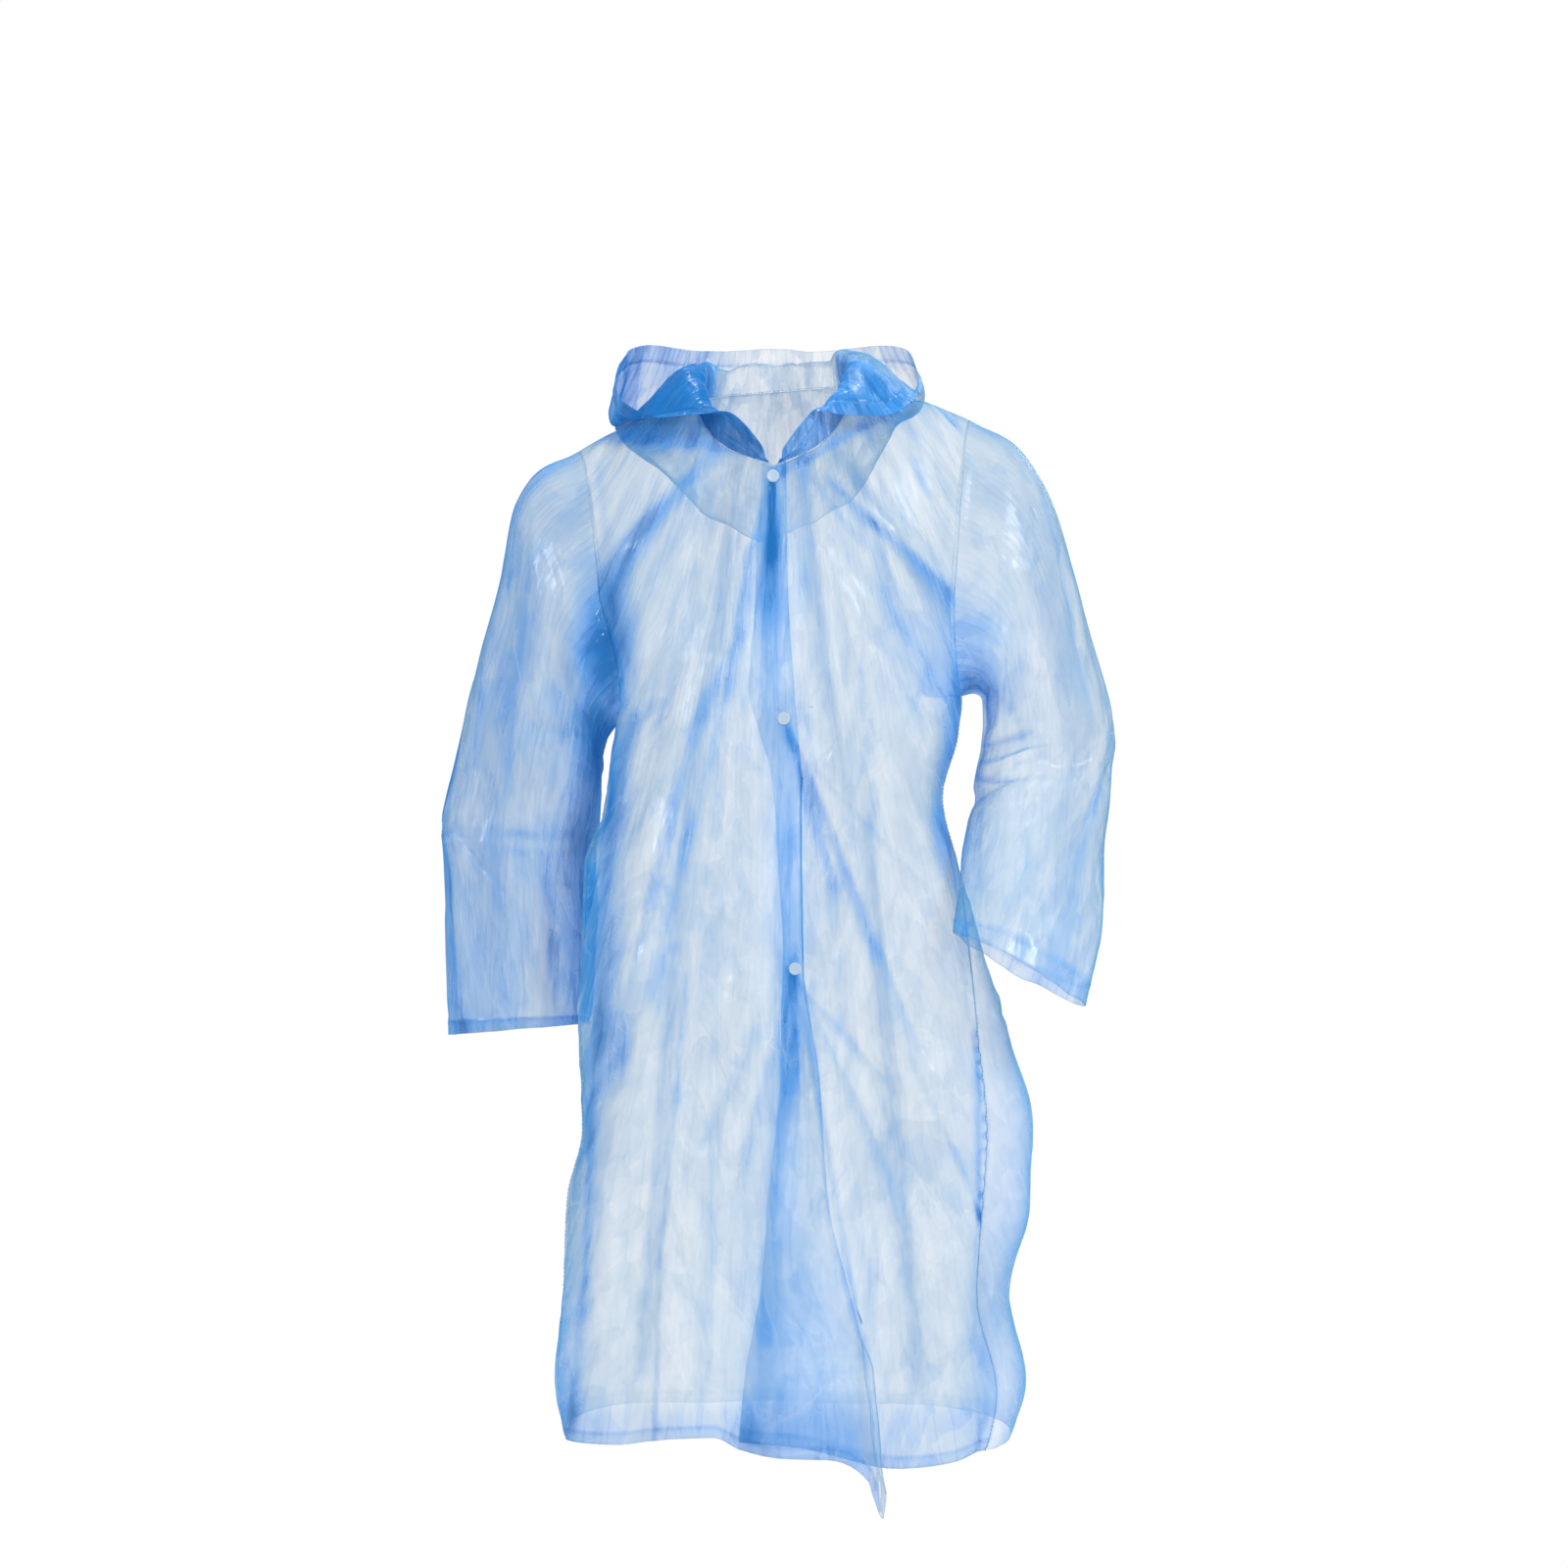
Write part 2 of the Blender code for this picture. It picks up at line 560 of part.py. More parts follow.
def hood_grid(seam, coat):
    """Profiles of the hood from the seam's points, kept clear of the coat under it."""
    columns = []
    for point in seam:
        angle = math.degrees(math.atan2(point[0], point[1] - NECK_Y))
        away = np.array([math.sin(math.radians(angle)), math.cos(math.radians(angle)), 0.0])
        profile = [point + [0.0, 0.0, 2 * SEAM]]
        for name in ("stand", "over", "low", "bag", "rim"):
            radius = float(read(HOOD, "angle", name + "_r", abs(angle)))
            height = float(read(HOOD, "angle", name + "_z", abs(angle)))
            place = np.array([0.0, NECK_Y, height]) + away * radius
            if name in ("bag", "rim"):
                place[0] += HOOD_X * math.cos(math.radians(angle / 2))
            if name != "rim":
                place[2] += float(tilt_at(place[0], place[2]))
            profile.append(place)
        columns.append(curve_through(np.array(profile), HOOD_STEPS))
    grid = np.stack(columns, axis=1)
    count = grid.shape[1]
    waves = np.sin(np.linspace(0, HOOD_WAVES * 2 * math.pi, count))
    swell = np.sin(np.linspace(0, math.pi, HOOD_STEPS + 1)) ** 2
    ends = np.sin(np.linspace(0, math.pi, count)) ** 0.5
    lift = HOOD_WAVE * swell[:, None] * (waves * ends)[None]
    grid = grid + grid_normals(grid) * lift[..., None]
    for i in range(1, HOOD_STEPS + 1):
        for j in range(count):
            grid[i, j] = lifted(grid[i, j], coat, HOOD_CLEAR * min(1, i / HOOD_RISE))
    return grid


def curve_through(points, steps):
    """Evenly spaced points on a smooth curve through the given ones."""
    gaps = np.linalg.norm(np.diff(points, axis=0), axis=1) ** 0.5
    knots = np.concatenate([[0], np.cumsum(gaps)])
    fine = np.linspace(0, knots[-1], CURVE_STEPS + 1)
    dense = np.stack([spline(fine, knots, points[:, axis]) for axis in range(3)], axis=-1)
    run = np.concatenate([[0], np.cumsum(np.linalg.norm(np.diff(dense, axis=0), axis=1))])
    even = np.linspace(0, run[-1], steps + 1)
    return np.stack([np.interp(even, run, dense[:, axis]) for axis in range(3)], axis=-1)


def spline(at, knots, values):
    """Catmull-Rom curve through the values."""
    tangents = np.gradient(values, knots)
    i = np.clip(np.searchsorted(knots, at, side="right") - 1, 0, len(knots) - 2)
    step = knots[i + 1] - knots[i]
    t = (at - knots[i]) / step
    start = (1 + 2 * t) * (1 - t) ** 2 * values[i] + t * (1 - t) ** 2 * step * tangents[i]
    end = t * t * (3 - 2 * t) * values[i + 1] - t * t * (1 - t) * step * tangents[i + 1]
    return start + end


def lifted(point, tree, clearance):
    """The point itself, or where it is too near the surface, the nearest place that clears it."""
    place, normal, _, _ = tree.find_nearest(Vector(point))
    depth = (Vector(point) - place).dot(normal)
    if depth >= clearance or (Vector(point) - place).length > HOOD_REACH:
        return point
    return np.array(place + normal * clearance)


# Meshes


def quads(rows, columns, closed, flip):
    """Faces of a grid, wound so that they point out."""
    faces = []
    for r in range(rows - 1):
        for c in range(columns if closed else columns - 1):
            n = (c + 1) % columns
            face = (r * columns + c, (r + 1) * columns + c, (r + 1) * columns + n, r * columns + n)
            faces.append(face[::-1] if flip else face)
    return faces


def trim(grid, top=True, sides=True):
    """Draws a panel's joined edges back from their seam lines."""
    grid = grid.copy()
    edges = [(grid[0], grid[1])] if top else []
    if sides:
        edges += [(grid[:, 0], grid[:, 1]), (grid[:, -1], grid[:, -2])]
    for edge, inner in edges:
        edge += unit(inner - edge) * SEAM
    return grid


def surface_tree(grids):
    """Search tree over the outer surfaces of several (grid, closed, flip) sheets."""
    points = []
    faces = []
    for grid, closed, flip in grids:
        start = len(points)
        rows, columns = grid.shape[:2]
        points += [Vector(point) for point in grid.reshape(-1, 3)]
        faces += [tuple(start + i for i in face) for face in quads(rows, columns, closed, flip)]
    return BVHTree.FromPolygons(points, faces)


def wall(name, grid, material, collection, closed=False, flip=False):
    """A film panel: the grid as its outer side, with the wall's thickness inside it."""
    rows, columns = grid.shape[:2]
    mesh = bpy.data.meshes.new(name)
    mesh.from_pydata(grid.reshape(-1, 3).tolist(), [], quads(rows, columns, closed, flip))
    mesh.materials.append(material)
    mesh.shade_smooth()
    panel = bpy.data.objects.new(name, mesh)
    collection.objects.link(panel)
    solidify = panel.modifiers.new("Wall", "SOLIDIFY")
    solidify.thickness = WALL
    solidify.offset = -1.0
    solidify.use_quality_normals = True
    return panel


# Snaps


def disc(name, radius, height, material, collection):
    """A low turned button with a rounded face, its seat at the object's origin."""
    mesh = bpy.data.meshes.new(name)
    points = [(turned.radius * radius, 0.0, turned.height * height) for turned in BUTTON]
    mesh.from_pydata(points, [(i, i + 1) for i in range(len(points) - 1)], [])
    mesh.materials.append(material)
    button = bpy.data.objects.new(name, mesh)
    collection.objects.link(button)
    screw = button.modifiers.new("Turn", "SCREW")
    screw.steps = SNAP_STEPS
    screw.render_steps = SNAP_STEPS
    screw.use_merge_vertices = True
    screw.merge_threshold = 0.00001
    screw.use_smooth_shade = False
    return button


def heights_under(tree, place, normal, radius):
    """Heights of a surface along the normal, over a disc about a place on it."""
    turn_x = normal.orthogonal().normalized()
    turn_y = normal.cross(turn_x)
    found = [0.0]
    for i in range(PROBES):
        turn = i / PROBES * 2 * math.pi
        rim = place + (turn_x * math.cos(turn) + turn_y * math.sin(turn)) * radius
        hit, _, _, _ = tree.ray_cast(rim + normal * PROBE_REACH, -normal, 2 * PROBE_REACH)
        if hit is not None:
            found.append((hit - place).dot(normal))
    return found


def set_on(button, place, normal, height, facing_out=True):
    """Seats a button on a wall, at a height along its normal, with its face out or in."""
    button.location = place + normal * height
    direction = normal if facing_out else -normal
    button.rotation_mode = "QUATERNION"
    button.rotation_quaternion = direction.to_track_quat("Z", "Y")


def add_snaps(outer, under, material, collection):
    """Each snap: cap on the right front, socket between the fronts, back in the left one."""
    for snap in SNAPS:
        start = Vector((snap.x, -1.0, snap.z))
        place, normal, _, _ = outer.ray_cast(start, Vector((0.0, 1.0, 0.0)))
        outer_heights = heights_under(outer, place, normal, CAP_RADIUS)
        cap = disc(f"snap_{snap.name}_cap", CAP_RADIUS, CAP_HEIGHT, material, collection)
        set_on(cap, place, normal, max(outer_heights) + SNAP_SEAT)
        socket = disc(
            f"snap_{snap.name}_socket", SOCKET_RADIUS, SOCKET_HEIGHT, material, collection
        )
        set_on(socket, place, normal, min(outer_heights) - WALL - SNAP_SEAT, False)
        inner, _, _, _ = under.ray_cast(place, -normal)
        under_heights = heights_under(under, inner, normal, CAP_RADIUS)
        back = disc(f"snap_{snap.name}_back", CAP_RADIUS, BACK_HEIGHT, material, collection)
        set_on(back, inner, normal, min(under_heights) - WALL - SNAP_SEAT, False)


def main():
    """Builds the coat's panels from their shared seams, then the hood and the snaps."""
    clear_scene()
    collection = bpy.data.collections.new(NAME)
    bpy.context.scene.collection.children.link(collection)
    film = make_material("film", FILM)
    plastic = make_material("snap_plastic", SNAP_PLASTIC)

    outer_front = front_grid(HEM_RIGHT_FRONT)
    under_front = front_grid(HEM_LEFT_FRONT)
    back = back_grid()
    right_loop = armhole_loop(outer_front, back, 0)
    left_loop = armhole_loop(under_front, back, -1)
    sleeve_right = sleeve_grid(RIGHT_SLEEVE, right_loop, False)
    sleeve_left = sleeve_grid(LEFT_SLEEVE, left_loop, True)

    lap_end = FRONT_COLUMNS + LAP_COLUMNS + 1
    front_right = trim(outer_front[:, :lap_end])
    sunk = np.zeros(under_front.shape[1])
    sunk[:lap_end] = 1.0
    sunk[lap_end : lap_end + len(LAP_FADE)] = LAP_FADE
    inward = grid_normals(under_front) * (sunk * (WALL + LAP))[None, :, None]
    front_left = trim((under_front - inward)[:, FRONT_COLUMNS:])
    back = trim(back)

    wall("front_right", front_right, film, collection)
    wall("front_left", front_left, film, collection)
    wall("back", back, film, collection, flip=True)
    sleeve_right[0] += unit(sleeve_right[1] - sleeve_right[0]) * SEAM
    sleeve_left[0] += unit(sleeve_left[1] - sleeve_left[0]) * SEAM
    wall("sleeve_right", sleeve_right, film, collection, closed=True)
    wall("sleeve_left", sleeve_left, film, collection, closed=True, flip=True)

    coat = surface_tree(
        [
            (front_right, False, False),
            (front_left, False, False),
            (back, False, True),
            (sleeve_right, True, False),
            (sleeve_left, True, True),
        ]
    )
    right_end = FRONT_COLUMNS + HOOD_IN_LAP + 1
    left_end = LAP_COLUMNS - HOOD_IN_LAP
    right_neck = front_right[0, FRONT_COLUMNS - NECK_COLUMNS : right_end][::-1]
    back_neck = back[0, BACK_COLUMNS - NECK_COLUMNS + 1 : BACK_COLUMNS + NECK_COLUMNS]
    left_neck = front_left[0, left_end : LAP_COLUMNS + NECK_COLUMNS + 1][::-1]
    seam = np.concatenate([right_neck, back_neck, left_neck])
    wall("hood", hood_grid(seam, coat), film, collection)
    add_snaps(
        surface_tree([(front_right, False, False)]),
        surface_tree([(front_left, False, False)]),
        plastic,
        collection,
    )


main()
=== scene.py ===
"""Looks of a thin film raincoat: crumpled see-through panels, a turned-down hood and snaps.

Metres, +Z up, the front faces -Y, and right and left are the wearer's. Every panel repeats the
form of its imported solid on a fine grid, takes its creases from tables, and is a thin shell of
film whose colour deepens where it is gathered or seen along its surface.
"""

import logging
import math
from dataclasses import dataclass, field
from enum import Enum
from typing import Callable, NamedTuple, Sequence, TypeVar

import bpy
import numpy as np
from bpy.types import ID, Material, Node, NodeSocket, NodeTree, Object
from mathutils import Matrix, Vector
from mathutils.bvhtree import BVHTree
from mathutils.geometry import delaunay_2d_cdt


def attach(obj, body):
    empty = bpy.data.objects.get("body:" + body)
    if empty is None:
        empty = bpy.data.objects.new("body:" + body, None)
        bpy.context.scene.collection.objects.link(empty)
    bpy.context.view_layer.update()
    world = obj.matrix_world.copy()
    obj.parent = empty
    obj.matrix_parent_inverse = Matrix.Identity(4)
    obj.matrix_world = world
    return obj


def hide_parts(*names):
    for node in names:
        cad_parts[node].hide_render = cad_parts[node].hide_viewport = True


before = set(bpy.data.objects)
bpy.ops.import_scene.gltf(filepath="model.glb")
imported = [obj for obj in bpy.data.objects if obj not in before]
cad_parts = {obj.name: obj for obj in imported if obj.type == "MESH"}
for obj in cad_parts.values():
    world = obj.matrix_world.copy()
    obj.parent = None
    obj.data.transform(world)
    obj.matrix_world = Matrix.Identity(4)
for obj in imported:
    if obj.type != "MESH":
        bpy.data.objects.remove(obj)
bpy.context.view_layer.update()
LOG = logging.getLogger("raincoat")

BODY = "root"  # the coat is one body
Array = np.ndarray
Source = NodeSocket | float | tuple[float, ...]  # what a node's input takes
Row = TypeVar("Row")
WHITE = (1.0, 1.0, 1.0, 1.0)


class Facing(Enum):
    """Side of the coat that a panel lies on."""

    FRONT = "front"
    BACK = "back"


class Side(Enum):
    """The wearer's side."""

    RIGHT = -1
    LEFT = 1


# Sizes of the cut, as rows of tables


@dataclass(frozen=True)
class Section:
    """Level section of the body: where its sides, front and back lie, and its side seams."""

    z: float
    right: float
    left: float
    front: float
    back: float
    seam_right: float
    seam_left: float


@dataclass(frozen=True)
class NeckPlace:
    """A point of the neckline, at an angle from the front round to the back."""

    angle: float
    radius: float
    z: float


@dataclass(frozen=True)
class FreeEdge:
    """Where the two free edges of the fronts lie across the coat, at a height."""

    z: float
    outer: float
    under: float


@dataclass(frozen=True)
class HemPlace:
    """Height of a hem at a share of its panel, from the right side seam (-1) to the left (1)."""

    share: float
    z: float


@dataclass(frozen=True)
class Fold:
    """A large fold, as a line in the plane of the panel; a positive height stands out."""

    x0: float
    z0: float
    x1: float
    z1: float
    width0: float
    width1: float
    height: float


@dataclass(frozen=True)
class Crease:
    """A crease with a crisp crest, fading at both ends; bend moves its middle sideways."""

    x0: float
    z0: float
    x1: float
    z1: float
    width: float
    height: float
    bend: float = 0.0


@dataclass(frozen=True)
class Ring:
    """Ring of a sleeve: over-arm and under-arm points, middle, half depth and lean."""

    over_x: float
    over_z: float
    under_x: float
    under_z: float
    y: float
    depth: float
    lean: float


@dataclass(frozen=True)
class HoodStation:
    """Profile of the hood at an angle from the back: stand, turn-over, pouch and face edge."""

    angle: float
    stand_r: float
    stand_z: float
    over_r: float
    over_z: float
    low_r: float
    low_z: float
    bag_r: float
    bag_z: float
    rim_r: float
    rim_z: float


@dataclass(frozen=True)
class Band:
    """A strip where film lies double or is drawn together, as a line in the panel's plane."""

    x0: float
    z0: float
    x1: float
    z1: float
    width0: float
    width1: float
    amount: float


@dataclass(frozen=True)
class Bunch:
    """A place where film is bunched up, or where shade is painted on it, as an ellipse in the plane of the
    front.
    """

    x: float
    z: float
    reach_x: float
    reach_z: float
    amount: float


CREASE_STRENGTH = 0.55  # of the creases' heights in the tables below
# Fields that aren't lengths: in a panel's plane, and round a sleeve or the hood, where x is an
# angle and z a share of the length
FLAT = ("angle", "share", "lean", "seam_right", "seam_left", "amount")
ROUND = (*FLAT, "x0", "z0", "x1", "z1")


def table(kind: type[Row], plain: Sequence[str], rows: Sequence[tuple]) -> tuple[Row, ...]:
    """Rows of a table whose lengths are written in millimetres.

    Args:
        kind: What a row is.
        plain: Fields that aren't lengths.
        rows: The rows' values, in the order of their fields.

    Returns:
        The rows, with lengths in metres.
    """
    names = list(kind.__dataclass_fields__)
    return tuple(
        kind(*(v if name in plain else round(v / 1000, 6) for name, v in zip(names, row)))
        for row in rows
    )


SECTIONS = table(Section, FLAT, (
    (-150, -196, 204, -118, 118, 90, 90),
    (-276, -160, 190, -136, 122, 90, 90),
    (-310, -165, 188, -138, 121, 89, 90),
    (-370, -171, 172, -140, 120, 88, 90),
    (-430, -190, 186, -141, 122, 86, 86),
    (-500, -193, 205, -143, 128, 86, 70),
    (-600, -197, 236, -148, 140, 86, 56),
    (-700, -196, 264, -152, 152, 84, 48),
    (-770, -212, 261, -154, 158, 82, 48),
    (-870, -217, 237, -157, 162, 80, 56),
    (-955, -222, 254, -158, 165, 80, 58),
    (-1000, -216, 244, -156, 165, 80, 60),
    (-1060, -196, 214, -152, 158, 80, 62),
))
NECKLINE = table(NeckPlace, FLAT, (
    (0, 100, -32),
    (30, 88, -12),
    (60, 80, 15),
    (90, 77, 40),
    (120, 77, 50),
    (150, 80, 54),
    (180, 82, 55),
))
FREE_EDGES = table(FreeEdge, FLAT, (
    (-39, 12, -13),
    (-156, 14, -17),
    (-253, 20, -23),
    (-350, 27, -2),
    (-447, 28, 6),
    (-534, 30, 10),
    (-637, 45, 8),
    (-768, 55, -8),
    (-853, 80, -17),
    (-898, 98, -25),
    (-953, 103, -33),
    (-1065, 107, -41),
))
HEM_RIGHT_FRONT = table(HemPlace, FLAT, (
    (-1, -1012),
    (-0.6, -1010),
    (-0.42, -1003),
    (-0.19, -997),
    (-0.12, -1010),
    (0, -1018),
    (0.12, -1019),
    (0.33, -1046),
    (0.43, -1094),
))
HEM_LEFT_FRONT = table(HemPlace, FLAT, (
    (-0.2, -1002),
    (0, -1006),
    (0.18, -1018),
    (0.42, -1030),
    (0.73, -1026),
    (1, -1018),
))
HEM_BACK = table(HemPlace, FLAT, (
    (-1, -1012),
    (-0.4, -1000),
    (0.4, -1004),
    (1, -1018),
))
FRONT_FOLDS = table(Fold, FLAT, (
    (-60, 0, -176, -150, 14, 22, 7),
    (-45, -60, -150, -235, 16, 22, -6),
    (56, -30, 178, -165, 12, 20, 7),
    (40, -80, 165, -240, 14, 24, -6),
    (-12, -60, -100, -420, 18, 34, 9),
    (-86, -360, -164, -700, 30, 44, 10),
    (-30, -300, -62, -620, 20, 30, -7),
    (46, -330, 140, -640, 18, 34, 9),
    (55, -545, 118, -930, 20, 36, -9),
    (-20, -560, -88, -980, 20, 40, 11),
    (-30, -740, -34, -1060, 20, 34, -10),
    (150, -640, 168, -1060, 24, 36, 11),
    (-150, -780, -150, -1040, 22, 34, -10),
))
BACK_FOLDS = table(Fold, FLAT, (
    (20, -60, 70, -520, 22, 34, 8),
    (-30, -100, -66, -560, 20, 34, -8),
    (-80, -30, -150, -210, 16, 26, 7),
    (84, -40, 160, -220, 16, 26, 7),
    (-86, -360, -140, -1010, 26, 44, 12),
    (6, -420, -10, -1020, 26, 42, 11),
    (100, -400, 150, -1010, 26, 44, 12),
    (-50, -560, -78, -1020, 22, 36, -11),
    (50, -560, 78, -1020, 22, 36, -11),
))
FRONT_CREASES = table(Crease, FLAT, (
    (-72, -26, -182, -146, 9, 5, 6),
    (-64, -40, -147, -168, 8, -3.5, 6),
    (-34, -40, -98, -196, 7, 3.5, 4),
    (-24, -50, -74, -214, 7, -3, 3),
    (-9, -50, -40, -200, 6, 3.5, 3),
    (-36, -180, -124, -456, 10, 5, 10),
    (-118, -430, -160, -640, 12, 5, 5),
    (-46, -300, -108, -560, 10, -4, 8),
    (-84, -480, -122, -760, 11, 4, 6),
    (56, -46, 110, -94, 6, 4.5, 3),
    (96, -84, 178, -158, 7, 5, 4),
    (38, -40, 152, -196, 8, -3.5, 12),
    (22, -60, 112, -312, 8, 3.5, 10),
    (15, -78, 40, -250, 6, -2.5, 4),
    (60, -110, 130, -270, 8, 3, -6),
    (29, -320, 104, -515, 8, 5, 6),
    (98, -505, 142, -606, 9, 4.5, 3),
    (31, -346, 76, -640, 9, -4, 8),
    (60, -254, 180, -468, 10, 4, 12),
    (110, -310, 192, -500, 10, -3.5, 10),
    (30, -300, 90, -400, 7, 3, 4),
    (32, -545, 136, -933, 10, 5, 10),
    (38, -545, 168, -830, 10, -4.5, 14),
    (80, -700, 150, -1010, 12, 4.5, -8),
    (12, -545, -40, -700, 8, 4.5, 4),
    (-38, -680, -50, -990, 10, 5, -6),
    (0, -545, -90, -740, 9, -4, 6),
    (-94, -660, -119, -905, 5, 4, 6),
    (-60, -600, -76, -980, 10, -4, 6),
    (-160, -320, -176, -560, 8, 4, 6),
    (-150, -600, -184, -860, 10, -4, -6),
    (-170, -740, -164, -990, 10, 4.5, 8),
    (4, -740, 20, -1010, 9, 4, 6),
    (40, -800, 52, -1020, 8, -3.5, -4),
    (126, -860, 186, -940, 7, 3, -8),
    (120, -930, 190, -960, 6, 2.8, 6),
    (-174, -120, -110, -300, 10, -4, -10),
    (180, -140, 120, -320, 10, -4, 10),
    (-168, -900, -112, -986, 7, 3, 6),
))
BACK_CREASES = table(Crease, FLAT, (
    (-70, -20, -176, -150, 9, 4.5, 6),
    (-50, -30, -130, -230, 8, -3.5, 8),
    (-30, -30, -60, -300, 8, 3.5, 6),
    (-8, -40, -18, -330, 7, -3, 4),
    (12, -40, 30, -360, 8, 3.5, -4),
    (44, -30, 104, -290, 8, -3.5, -6),
    (70, -30, 172, -170, 9, 4.5, -6),
    (-170, -180, -40, -440, 11, 4, -16),
    (176, -190, 60, -440, 11, 4, 16),
    (-120, -360, -160, -700, 10, 4.5, 8),
    (-60, -380, -100, -800, 11, -4, 8),
    (-20, -400, -40, -860, 10, 4.5, -6),
    (26, -400, 34, -900, 10, -4, 6),
    (70, -380, 110, -860, 11, 4.5, -8),
    (130, -400, 190, -760, 10, -4, -8),
    (-170, -700, -186, -980, 10, 4.5, 6),
    (-110, -740, -126, -990, 10, -3.5, 4),
    (0, -760, 6, -990, 10, 4, 4),
    (86, -780, 100, -990, 9, -3.5, 6),
    (176, -700, 206, -990, 10, 4.5, 6),
))
RIGHT_SLEEVE_RINGS = table(Ring, FLAT, (
    (-200, -11, -160, -289, 0, 62, 0),
    (-240, -29, -171, -306, 3, 62, 0),
    (-266, -66, -176, -322, 10, 61, 0),
    (-282, -140, -177, -345, 22, 60, 0),
    (-300, -205, -178, -370, 36, 60, 0),
    (-317, -275, -180, -400, 48, 60, 0),
    (-340, -384, -184, -455, 58, 60, 0),
    (-338, -440, -186, -495, 60, 60, 0),
    (-337, -555, -188, -565, 60, 60, 2),
    (-336, -609, -190, -597, 60, 60, 3),
))
LEFT_SLEEVE_RINGS = table(Ring, FLAT, (
    (200, 21, 190, -261, 0, 62, 0),
    (246, -4, 203, -258, 0, 64, 0),
    (281, -56, 212, -264, 2, 64, 0),
    (307, -133, 213, -288, 5, 62, 0),
    (324, -195, 211, -312, 6, 60, 2),
    (348, -283, 205, -342, 0, 58, 8),
    (351, -325, 202, -368, -12, 58, 16),
    (343, -372, 196, -398, -34, 58, 24),
    (333, -429, 190, -428, -64, 57, 26),
    (325, -496, 185, -460, -102, 54, 20),
    (307, -570, 178, -498, -140, 50, 8),
))
# On a sleeve x is the angle from the over-arm round the front, z the share from armhole to cuff
SLEEVE_FOLDS = table(Fold, ROUND, (
    (60, 0.1, 120, 0.42, 30, 30, -6),
    (95, 0.12, 75, 0.5, 30, 30, 6),
    (35, 0.3, 60, 0.8, 30, 30, -5),
    (20, 0.62, 160, 0.6, 22, 22, -6),
    (110, 0.55, 95, 0.95, 32, 32, 6),
    (-70, 0.15, -60, 0.85, 34, 34, 6),
    (-120, 0.2, -110, 0.9, 34, 34, -6),
    (-20, 0.62, -160, 0.6, 22, 22, -6),
))
RIGHT_SLEEVE_CREASES = table(Crease, ROUND, (
    (6, 0.715, 90, 0.652, 5, 1.8, 4),
    (90, 0.652, 170, 0.59, 5, 1.8, -4),
    (-6, 0.715, -90, 0.652, 5, 1.8, 4),
    (14, 0.02, 34, 0.56, 8, 4.5, 6),
    (30, 0.1, 66, 0.52, 9, -4, 10),
    (150, 0.06, 76, 0.34, 9, 4.5, 8),
    (158, 0.14, 96, 0.48, 9, -4, 8),
    (140, 0.26, 60, 0.46, 8, 3.5, -8),
    (120, 0.36, 40, 0.56, 7, 3.5, 6),
    (6, 0.62, 62, 0.92, 10, 5.5, 6),
    (12, 0.6, 96, 0.8, 8, -4, 6),
    (18, 0.64, 40, 0.98, 8, -4.5, 4),
    (84, 0.62, 92, 0.97, 7, 4, 4),
    (112, 0.6, 126, 0.97, 8, -4, 4),
    (146, 0.64, 150, 0.96, 9, 4, 4),
    (60, 0.9, 128, 0.98, 7, 3, 4),
    (-40, 0.05, -70, 0.54, 10, 4.5, 8),
    (-130, 0.1, -96, 0.52, 10, -4.5, 8),
    (-30, 0.64, -80, 0.94, 10, 4.5, 6),
    (-120, 0.62, -130, 0.96, 10, -4, 6),
))
LEFT_SLEEVE_CREASES = table(Crease, ROUND, (
    (12, 0.04, 30, 0.46, 8, 4.5, 6),
    (34, 0.1, 50, 0.44, 9, -4, 8),
    (160, 0.06, 84, 0.36, 9, 5, 8),
    (166, 0.16, 110, 0.5, 9, -4.5, 8),
    (170, 0.36, 92, 0.44, 7, 5, 6),
    (172, 0.42, 84, 0.5, 7, -4.5, 6),
    (168, 0.48, 70, 0.53, 7, 4.5, -6),
    (158, 0.55, 88, 0.58, 6, -3.5, 4),
    (20, 0.48, 110, 0.8, 9, 5, 10),
    (12, 0.54, 84, 0.9, 9, -4.5, 10),
    (128, 0.62, 100, 0.96, 8, 4.5, 6),
    (150, 0.66, 140, 0.97, 8, -4, 6),
    (30, 0.8, 60, 0.98, 8, 4, 4),
    (-40, 0.06, -60, 0.5, 10, 4.5, 8),
    (-130, 0.1, -100, 0.48, 10, -4.5, 8),
    (-30, 0.52, -90, 0.92, 10, 4.5, 8),
    (-120, 0.5, -140, 0.94, 10, -4, 6),
))
HOOD_STATIONS = table(HoodStation, FLAT, (
    (0, 84, 84, 106, 66, 138, -100, 196, -20, 128, 104),
    (30, 82, 85, 104, 70, 134, -70, 188, 0, 130, 100),
    (60, 78, 86, 102, 76, 130, 14, 172, 24, 144, 104),
    (90, 74, 82, 100, 76, 132, 42, 158, 30, 154, 68),
    (110, 76, 64, 92, 72, 116, 54, 142, 30, 154, 32),
    (130, 80, 30, 85, 45, 98, 44, 114, 28, 124, 16),
    (150, 87, 0, 88, 10, 90, 18, 95, 24, 100, 24),
    (178, 101, -29, 101.5, -27, 102, -25, 102.5, -23, 103, -20),
))
